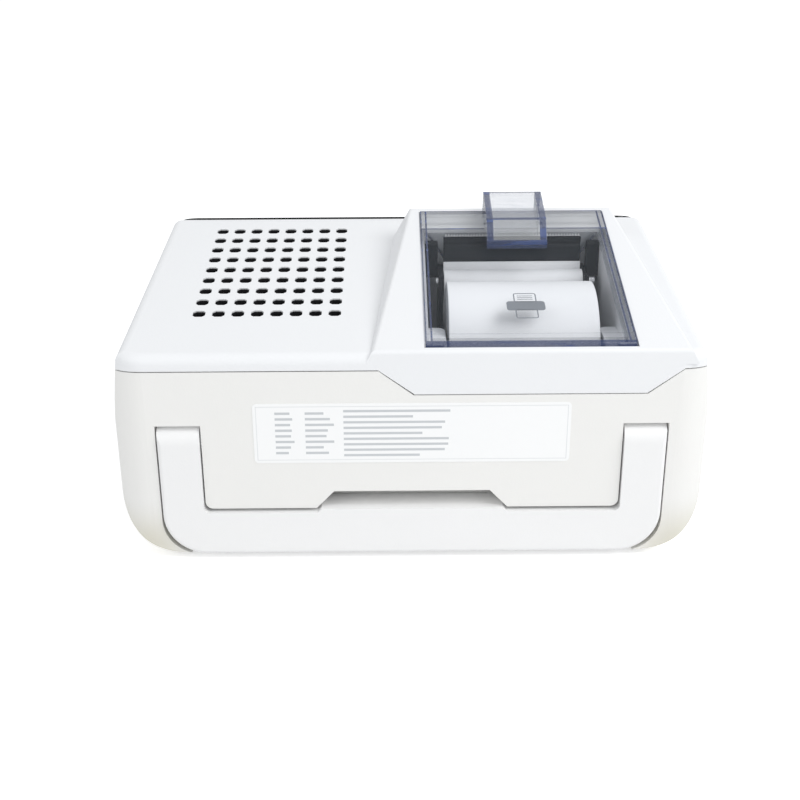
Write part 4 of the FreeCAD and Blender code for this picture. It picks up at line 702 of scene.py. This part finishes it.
def label_plate(made):
    """The rating label's film on the rear face."""
    outline = rounded_outline(LABEL_HALF_WIDTH, LABEL_HALF_HEIGHT, LABEL_CORNER)
    points = [(u, REAR - LABEL_GAP, LABEL_MIDDLE + v) for u, v in outline]
    slab(made, points, Vector((0, -LABEL_THICK, 0)))


# Geometry Nodes


class Grower(NodeWork):
    """A Geometry Nodes tree with named inputs that ends in one plain mesh."""

    def __init__(self, name, inputs):
        super().__init__(bpy.data.node_groups.new(name, "GeometryNodeTree"))
        self.tree.interface.new_socket("Geometry", in_out="OUTPUT", socket_type="NodeSocketGeometry")
        self.values = {}
        for label, (kind, value) in inputs.items():
            socket = self.tree.interface.new_socket(label, in_out="INPUT", socket_type="NodeSocket" + kind)
            self.values[socket.identifier] = value
        self.inputs = self.tree.nodes.new("NodeGroupInput")

    def given(self, label):
        return Wire(self, self.inputs.outputs[label])

    def join(self, parts):
        """All the parts as one geometry."""
        joined = self.add("GeometryNodeJoinGeometry")
        for part in parts:
            self.tree.links.new(part.socket, joined.socket.node.inputs["Geometry"])
        return joined

    def grow(self, name, geometry, material):
        """Ends the tree and returns the mesh that it makes, as an object of its own."""
        real = self.add("GeometryNodeRealizeInstances", values={"Geometry": geometry})
        painted = self.add("GeometryNodeSetMaterial", values={"Geometry": real, "Material": material})
        self.close("NodeGroupOutput", painted, "Geometry")
        seed = placed(name + "_seed", bpy.data.meshes.new(name + "_seed"))
        maker = seed.modifiers.new("maker", "NODES")
        maker.node_group = self.tree
        for identifier, value in self.values.items():
            maker[identifier] = value
        evaluated = seed.evaluated_get(bpy.context.evaluated_depsgraph_get())
        mesh = bpy.data.meshes.new_from_object(evaluated)
        mesh.name = name
        bpy.data.objects.remove(seed)
        return placed(name, mesh)


def wound_edges(name, place_x, turns, material):
    """The wound edges of the paper: a fine spiral on one end of the roll."""
    g = Grower(
        name + "_tree",
        {
            "Turns": ("Float", turns),
            "Inner radius": ("Float", high("roll_core").z - ROLL_AXIS.z + 0.4 * MM),
            "Outer radius": ("Float", ROLL_RADIUS - 0.5 * MM),
            "Edge": ("Float", 0.11 * MM),
        },
    )
    spiral = g.add(
        "GeometryNodeCurveSpiral",
        values={
            "Resolution": 64,
            "Rotations": g.given("Turns"),
            "Start Radius": g.given("Inner radius"),
            "End Radius": g.given("Outer radius"),
            "Height": 0.0,
        },
    )
    thread = g.add("GeometryNodeCurvePrimitiveCircle", values={"Resolution": 4, "Radius": g.given("Edge")})
    strip = g.add(
        "GeometryNodeCurveToMesh", values={"Curve": spiral, "Profile Curve": thread, "Fill Caps": True}
    )
    upright = g.add(
        "GeometryNodeTransform",
        values={
            "Geometry": strip,
            "Rotation": (0.0, math.radians(90), 0.0),
            "Translation": (place_x, ROLL_AXIS.y, ROLL_AXIS.z),
        },
    )
    return g.grow(name, upright, material)


def tear_teeth(name, start, end, count, height, material):
    """A row of small teeth between two points, pointing up."""
    g = Grower(
        name + "_tree",
        {
            "Count": ("Int", count),
            "Height": ("Float", height),
            "Width": ("Float", height * 0.62),
        },
    )
    spots = g.add(
        "GeometryNodeMeshLine",
        {"mode": "END_POINTS"},
        {"Count": g.given("Count"), "Start Location": start, "Offset": end},
    )
    tooth = g.add(
        "GeometryNodeMeshCone",
        values={
            "Vertices": 4,
            "Side Segments": 1,
            "Fill Segments": 1,
            "Radius Top": 0.0,
            "Radius Bottom": g.given("Width"),
            "Depth": g.given("Height"),
        },
    )
    row = g.add(
        "GeometryNodeInstanceOnPoints",
        values={"Points": spots, "Instance": tooth, "Rotation": (0.0, 0.0, math.radians(45))},
    )
    return g.grow(name, row, material)


def screw_recesses(name, places, length, turn, material):
    """Cross recesses in screw heads: two thin bars at each place."""
    g = Grower(name + "_tree", {"Length": ("Float", length), "Bar": ("Float", length * 0.22)})
    depth = 0.12 * MM
    size = g.add("ShaderNodeCombineXYZ", values={"X": g.given("Length"), "Y": g.given("Bar"), "Z": depth})
    bar = g.add("GeometryNodeMeshCube", values={"Size": size})
    quarter_turn = (0.0, 0.0, math.radians(90))
    other = g.add("GeometryNodeTransform", values={"Geometry": bar, "Rotation": quarter_turn})
    spots = [
        g.add("GeometryNodePoints", values={"Count": 1, "Position": place, "Radius": 1 * MM})
        for place in places
    ]
    crosses = g.add(
        "GeometryNodeInstanceOnPoints",
        values={
            "Points": g.join(spots),
            "Instance": g.join((bar, other)),
            "Rotation": (0.0, 0.0, turn),
        },
    )
    return g.grow(name, crosses, material)


# Colours, sizes and strengths that a user would change


class CaseColours(bpy.types.PropertyGroup):
    cover: bpy.props.FloatVectorProperty(
        name="Cover",
        description="Upper shell",
        subtype="COLOR",
        size=3,
        default=(0.85, 0.86, 0.875),
    )
    tub: bpy.props.FloatVectorProperty(
        name="Tub",
        description="Lower shell",
        subtype="COLOR",
        size=3,
        default=(0.855, 0.85, 0.83),
    )
    handle: bpy.props.FloatVectorProperty(
        name="Handle",
        description="Carrying handle",
        subtype="COLOR",
        size=3,
        default=(0.875, 0.875, 0.875),
    )
    low_tint: bpy.props.FloatVectorProperty(
        name="Lower corners",
        description="Faint tint low on the sides",
        subtype="COLOR",
        size=3,
        default=(0.62, 0.59, 0.47),
    )
    grain: bpy.props.FloatProperty(
        name="Grain",
        description="Patch size of the moulded texture in millimetres",
        default=0.45,
        min=0.1,
        max=2.0,
    )


class LidLooks(bpy.types.PropertyGroup):
    edge: bpy.props.FloatVectorProperty(
        name="Edge",
        description="Colour gathered in the edges",
        subtype="COLOR",
        size=3,
        default=(0.012, 0.03, 0.11),
    )
    veil: bpy.props.FloatProperty(
        name="Veil",
        description="How much the window itself shows",
        default=0.02,
        min=0.0,
        max=1.0,
        subtype="FACTOR",
    )


class FineDetail(bpy.types.PropertyGroup):
    soft_edge: bpy.props.FloatProperty(
        name="Soft edge",
        description="Radius of the edges of the added pieces",
        default=0.5 * MM,
        min=0.0,
        unit="LENGTH",
    )
    turns: bpy.props.FloatProperty(
        name="Paper turns",
        description="Turns of the wound edge on each end of the paper roll",
        default=22.0,
        min=1.0,
        max=60.0,
    )
    teeth: bpy.props.IntProperty(
        name="Teeth",
        description="Number of tear teeth over the print head",
        default=48,
        min=2,
        max=200,
    )
    tooth_height: bpy.props.FloatProperty(
        name="Tooth height",
        description="Height of a tear tooth",
        default=1.1 * MM,
        min=0.0,
        unit="LENGTH",
    )
    recess_length: bpy.props.FloatProperty(
        name="Screw recess",
        description="Length of the cross recess in a case screw",
        default=3.0 * MM,
        min=0.0,
        unit="LENGTH",
    )
    recess_turn: bpy.props.FloatProperty(
        name="Recess turn",
        description="How far the cross recesses are turned",
        default=math.radians(20),
        subtype="ANGLE",
    )


class StudioLight(bpy.types.PropertyGroup):
    dome: bpy.props.FloatProperty(
        name="Dome",
        description="Strength of the even light",
        default=0.62,
        min=0.0,
    )
    key: bpy.props.FloatProperty(
        name="Key",
        description="Power of the softbox at the right",
        default=10.5,
        min=0.0,
        unit="POWER",
    )
    fill: bpy.props.FloatProperty(
        name="Fill",
        description="Power of the softbox at the left",
        default=2.2,
        min=0.0,
        unit="POWER",
    )


# Operators


class ANALYZER_OT_case(bpy.types.Operator):
    """Finish the two shells, the carrying handle, the pins, the screws and the feet"""

    bl_idname = "analyzer.case"
    bl_label = "Case"

    def execute(self, context):
        looks = context.scene.analyzer_case
        cover = moulded_plastic("cover_finish", looks.cover, looks.grain, painted_vent_shade=True)
        dress(cover, "upper_shell")
        tub = moulded_plastic("tub_finish", looks.tub, looks.grain, low_tint=looks.low_tint)
        dress(tub, "lower_shell")
        handle = moulded_plastic("handle_finish", looks.handle, looks.grain, gloss=0.4)
        dress(handle, "handle", "power_button")
        steel = turned_metal("pin_steel", (0.62, 0.63, 0.65))
        dress(steel, "handle_pin_left", "handle_pin_right", "lid_pin_left", "lid_pin_right")
        dress(steel, "tray_rails", "tray_screw", "platen_shaft")
        screws = turned_metal("screw_steel", (0.55, 0.56, 0.58), lines=(6.0, 6.0, 1.0))
        dress(screws, "case_screws", "fan_screws")
        rubber = soft_rubber("foot_rubber", (0.045, 0.045, 0.05))
        dress(rubber, "foot_rear_left", "foot_rear_right", "foot_front_left", "foot_front_right")
        return {"FINISHED"}


class ANALYZER_OT_lid(bpy.types.Operator):
    """Finish the clear lid and print its paper symbol"""

    bl_idname = "analyzer.lid"
    bl_label = "Printer lid"

    def execute(self, context):
        looks = context.scene.analyzer_lid
        dress(lid_plastic("clear_lid", (0.30, 0.33, 0.36), looks.edge, looks.veil), "printer_lid")
        ink = printed_ink("grey_ink", (0.22, 0.24, 0.27))
        finish_piece(mesh_object("paper_symbol", paper_symbol), ink, "lid")
        return {"FINISHED"}


class ANALYZER_OT_printer(bpy.types.Operator):
    """Finish the paper bay, the paper roll and the printer, and add their small pieces"""

    bl_idname = "analyzer.printer"
    bl_label = "Printer"

    def execute(self, context):
        detail = context.scene.analyzer_detail
        self.bay(detail)
        self.paper(detail)
        self.mechanism(detail)
        return {"FINISHED"}

    def bay(self, detail):
        """The paper bay and the two shelves in its near corners."""
        plastic = plain_plastic("bay_white", (0.83, 0.84, 0.86), gloss=0.45)
        dress(plastic, "printer_bay")
        wall, gap = 1.4 * MM, 1.2 * MM
        for name, outer, inner in (
            ("bay_shelf_left", BAY_LEFT + wall, PAPER_LEFT - gap),
            ("bay_shelf_right", BAY_RIGHT - wall, PAPER_RIGHT + gap),
        ):
            shelf = soften(mesh_object(name, corner_shelf, outer, inner), detail.soft_edge)
            finish_piece(shelf, plastic, "housing")

    def paper(self, detail):
        """The paper roll, its core and the wound edges on its ends."""
        dress(thermal_paper("paper_white", (0.92, 0.925, 0.93)), "paper_roll")
        dress(pressed_board("core_board", (0.42, 0.36, 0.29)), "roll_core")
        edge = printed_ink("paper_edge", (0.50, 0.51, 0.53))
        proud = 0.02 * MM
        for name, place_x in (
            ("roll_edge_left", PAPER_LEFT - proud),
            ("roll_edge_right", PAPER_RIGHT + proud),
        ):
            finish_piece(wound_edges(name, place_x, detail.turns, edge), edge, "housing")

    def mechanism(self, detail):
        """The printer itself, with the cover, the brackets and the tear teeth over its head."""
        frame_plastic = plain_plastic("frame_black", (0.012, 0.012, 0.016), gloss=0.36, shine=0.2)
        dress(frame_plastic, "printer_frame")
        dress(turned_metal("head_sink", (0.30, 0.30, 0.32), gloss=0.4), "print_head")
        dress(turned_metal("motor_can", (0.66, 0.67, 0.68), lines=(1.0, 9.0, 9.0)), "feed_motor")
        dress(plain_plastic("platen_white", (0.88, 0.885, 0.89), gloss=0.5), "platen_roller")
        black = plain_plastic("cover_black", (0.008, 0.010, 0.014), gloss=0.3, shine=0.2)
        cover = soften(mesh_object("head_cover", head_cover), detail.soft_edge)
        finish_piece(cover, black, "housing")
        wall, gap = 1.8 * MM, 0.05 * MM
        for name, start, end in (
            ("printer_bracket_left", BAY_LEFT + wall, low("printer_frame").x - gap),
            ("printer_bracket_right", high("printer_frame").x + gap, BAY_RIGHT - wall),
        ):
            plate = soften(mesh_object(name, bracket, start, end), detail.soft_edge)
            finish_piece(plate, black, "housing")
        steel = turned_metal("tear_steel", (0.58, 0.59, 0.60), lines=(12.0, 1.0, 1.0))
        inset, place_y, place_z = 1 * MM, COVER_REAR + 0.9 * MM, COVER_TOP + 0.35 * MM
        start, end = (PAPER_LEFT + inset, place_y, place_z), (PAPER_RIGHT - inset, place_y, place_z)
        teeth = tear_teeth("tear_teeth", start, end, detail.teeth, detail.tooth_height, steel)
        finish_piece(teeth, steel, "housing")


class ANALYZER_OT_vent(bpy.types.Operator):
    """Finish the fan under the vent"""

    bl_idname = "analyzer.vent"
    bl_label = "Vent and fan"

    def execute(self, context):
        dress(plain_plastic("fan_black", (0.03, 0.03, 0.034), gloss=0.42), "fan_frame")
        dress(plain_plastic("fan_grey", (0.33, 0.34, 0.355), gloss=0.35), "fan_rotor")
        return {"FINISHED"}


class ANALYZER_OT_screen(bpy.types.Operator):
    """Finish the screen glass and the display behind it"""

    bl_idname = "analyzer.screen"
    bl_label = "Screen"

    def execute(self, context):
        dress(dark_screen("screen_black", (0.008, 0.009, 0.011), (0.018, 0.021, 0.026)), "screen_glass")
        dress(plain_plastic("display_back", (0.05, 0.05, 0.055)), "display_module")
        return {"FINISHED"}


class ANALYZER_OT_fittings(bpy.types.Operator):
    """Finish the mains inlet, the switch and the data ports"""

    bl_idname = "analyzer.fittings"
    bl_label = "Side fittings"

    def execute(self, context):
        black = plain_plastic("inlet_black", (0.025, 0.025, 0.028), gloss=0.4)
        dress(black, "mains_inlet", "switch_frame")
        dress(plain_plastic("rocker_black", (0.035, 0.035, 0.04), gloss=0.25), "switch_rocker")
        dress(turned_metal("blade_brass", (0.70, 0.56, 0.30)), "inlet_blades")
        dress(turned_metal("port_steel", (0.62, 0.63, 0.65)), "data_port_lower", "data_port_upper")
        return {"FINISHED"}


class ANALYZER_OT_label(bpy.types.Operator):
    """Put the bare rating label on the rear face"""

    bl_idname = "analyzer.label"
    bl_label = "Rating label"

    def execute(self, context):
        columns = (
            (-50.0, -42.0, 43.0, 61.0, 2.25),
            (-39.0, -28.0, 43.0, 61.0, 2.25),
            (-25.0, 14.0, 42.0, 61.8, 2.2),
        )
        film = sticker_film("label_film", (0.92, 0.925, 0.925), (0.56, 0.58, 0.60), columns)
        finish_piece(mesh_object("rating_label", label_plate), film, "housing")
        return {"FINISHED"}


class ANALYZER_OT_inside(bpy.types.Operator):
    """Finish the pieces inside the housing"""

    bl_idname = "analyzer.inside"
    bl_label = "Inner pieces"

    def execute(self, context):
        boards = circuit_board("board_green", (0.02, 0.13, 0.06), (0.62, 0.50, 0.26))
        dress(boards, "main_board", "supply_board", "detector_board", "button_board")
        grey = plain_plastic("part_grey", (0.22, 0.22, 0.23))
        dress(grey, "supply_transformer", "tray_frame", "card_tray")
        black = plain_plastic("part_black", (0.03, 0.03, 0.033))
        dress(black, "supply_capacitors", "loudspeaker", "optics_housing")
        dress(turned_metal("tray_motor_can", (0.4, 0.41, 0.42)), "tray_motor")
        dress(shrunk_sleeve("pack_sleeve", (0.05, 0.12, 0.33)), "battery_pack")
        dress(clear_glass("lens_clear", (0.75, 0.82, 0.88)), "optics_lens", "optics_lamp")
        return {"FINISHED"}


class ANALYZER_OT_fasteners(bpy.types.Operator):
    """Add the cross recesses of the case screws"""

    bl_idname = "analyzer.fasteners"
    bl_label = "Screw recesses"

    def execute(self, context):
        detail = context.scene.analyzer_detail
        dark = printed_ink("recess_shadow", (0.03, 0.03, 0.032))
        first, last = low("case_screws"), high("case_screws")
        head_radius = 2.8 * MM
        places = [
            (x, y, first.z - 0.01 * MM)
            for x in (first.x + head_radius, last.x - head_radius)
            for y in (first.y + head_radius, last.y - head_radius)
        ]
        length, turn = detail.recess_length, detail.recess_turn
        crosses = screw_recesses("case_screw_recesses", places, length, turn, dark)
        finish_piece(crosses, dark, "housing")
        return {"FINISHED"}


class ANALYZER_OT_stage(bpy.types.Operator):
    """Set up the pale floor, the soft lights and the camera"""

    bl_idname = "analyzer.stage"
    bl_label = "Stage"

    def execute(self, context):
        light = context.scene.analyzer_light
        self.floor()
        self.world(context.scene, light.dome)
        self.softbox("key_softbox", (0.8, -0.55, 1.05), 0.9, light.key)
        self.softbox("fill_softbox", (-0.9, -0.75, 0.6), 0.8, light.fill)
        self.camera(context.scene)
        context.scene.view_settings.view_transform = "Standard"
        return {"FINISHED"}

    def floor(self):
        """A pale floor that looks white to the camera and keeps the shadow."""
        height = low("foot_rear_left").z - FLOOR_GAP

        def plane(made):
            made.faces.new([made.verts.new((x, y, height)) for x, y in FLOOR_CORNERS])

        f = Finish("floor_white")
        matt = f.add("ShaderNodeBsdfDiffuse", values={"Color": (0.93, 0.93, 0.93, 1.0)}, output="BSDF")
        glow = f.add(
            "ShaderNodeEmission",
            values={"Color": (1.0, 1.0, 1.0, 1.0), "Strength": FLOOR_GLOW},
            output="Emission",
        )
        both = f.add("ShaderNodeAddShader", values={0: matt, 1: glow}, output="Shader")
        seen = f.add("ShaderNodeLightPath", output="Is Camera Ray")
        shown = f.add("ShaderNodeMixShader", values={0: seen, 1: matt, 2: both}, output="Shader")
        floor = mesh_object("floor", plane)
        floor.data.materials.append(f.done(shown))

    def world(self, scene, strength):
        """Even light from all sides, and plain white where the world itself is seen."""
        scene.world = bpy.data.worlds.new("studio")
        scene.world.use_nodes = True
        sky = NodeWork(scene.world.node_tree)
        camera, gloss, glass = (
            sky.add("ShaderNodeLightPath", output=kind)
            for kind in ("Is Camera Ray", "Is Glossy Ray", "Is Transmission Ray")
        )
        even = sky.add(
            "ShaderNodeBackground",
            values={"Color": (0.97, 0.985, 1.0, 1.0), "Strength": strength},
            output="Background",
        )
        white = sky.add(
            "ShaderNodeBackground",
            values={"Color": (1.0, 1.0, 1.0, 1.0), "Strength": 1.0},
            output="Background",
        )
        seen = camera.most(gloss).most(glass)
        shown = sky.add("ShaderNodeMixShader", values={0: seen, 1: even, 2: white}, output="Shader")
        sky.close("ShaderNodeOutputWorld", shown)

    def softbox(self, name, place, width, power):
        """A square lamp that faces the object."""
        lamp = bpy.data.lights.new(name, "AREA")
        lamp.shape = "SQUARE"
        lamp.size = width
        lamp.energy = power
        holder = placed(name, lamp)
        holder.location = place
        holder.rotation_euler = (LAMP_TARGET - Vector(place)).to_track_quat("-Z", "Y").to_euler()

    def camera(self, scene):
        """The camera that sees the object as the photograph does."""
        lens = bpy.data.cameras.new("photo_camera")
        lens.sensor_width = CAMERA_SENSOR
        lens.lens = CAMERA_LENS
        camera = placed("photo_camera", lens)
        camera.location = CAMERA_PLACE
        pitch = Matrix.Rotation(math.radians(90) - CAMERA_DOWN, 4, "X")
        aim = Matrix.Rotation(CAMERA_LEFT, 4, "Z") @ pitch @ Matrix.Rotation(CAMERA_ROLL, 4, "Z")
        camera.rotation_euler = aim.to_euler()
        scene.camera = camera


OPERATORS = (
    ANALYZER_OT_case,
    ANALYZER_OT_lid,
    ANALYZER_OT_printer,
    ANALYZER_OT_vent,
    ANALYZER_OT_screen,
    ANALYZER_OT_fittings,
    ANALYZER_OT_label,
    ANALYZER_OT_inside,
    ANALYZER_OT_fasteners,
    ANALYZER_OT_stage,
)


class ANALYZER_PT_tools(bpy.types.Panel):
    bl_idname = "ANALYZER_PT_tools"
    bl_label = "Analyzer"
    bl_space_type = "VIEW_3D"
    bl_region_type = "UI"
    bl_category = "Analyzer"

    def draw(self, context):
        for operator in OPERATORS:
            self.layout.operator(operator.bl_idname)
        for group in GROUPS:
            looks = getattr(context.scene, group)
            for name in looks.bl_rna.properties.keys():
                if name not in {"rna_type", "name"}:
                    self.layout.prop(looks, name)


GROUPS = {
    "analyzer_case": CaseColours,
    "analyzer_lid": LidLooks,
    "analyzer_detail": FineDetail,
    "analyzer_light": StudioLight,
}
CLASSES = (*GROUPS.values(), *OPERATORS, ANALYZER_PT_tools)


def register():
    for each in CLASSES:
        bpy.utils.register_class(each)
    for name, group in GROUPS.items():
        setattr(bpy.types.Scene, name, bpy.props.PointerProperty(type=group))


def unregister():
    for name in GROUPS:
        delattr(bpy.types.Scene, name)
    for each in reversed(CLASSES):
        bpy.utils.unregister_class(each)


def main():
    register()
    for operator in OPERATORS:
        group, name = operator.bl_idname.split(".")
        getattr(getattr(bpy.ops, group), name)()


if __name__ == "__main__":
    main()
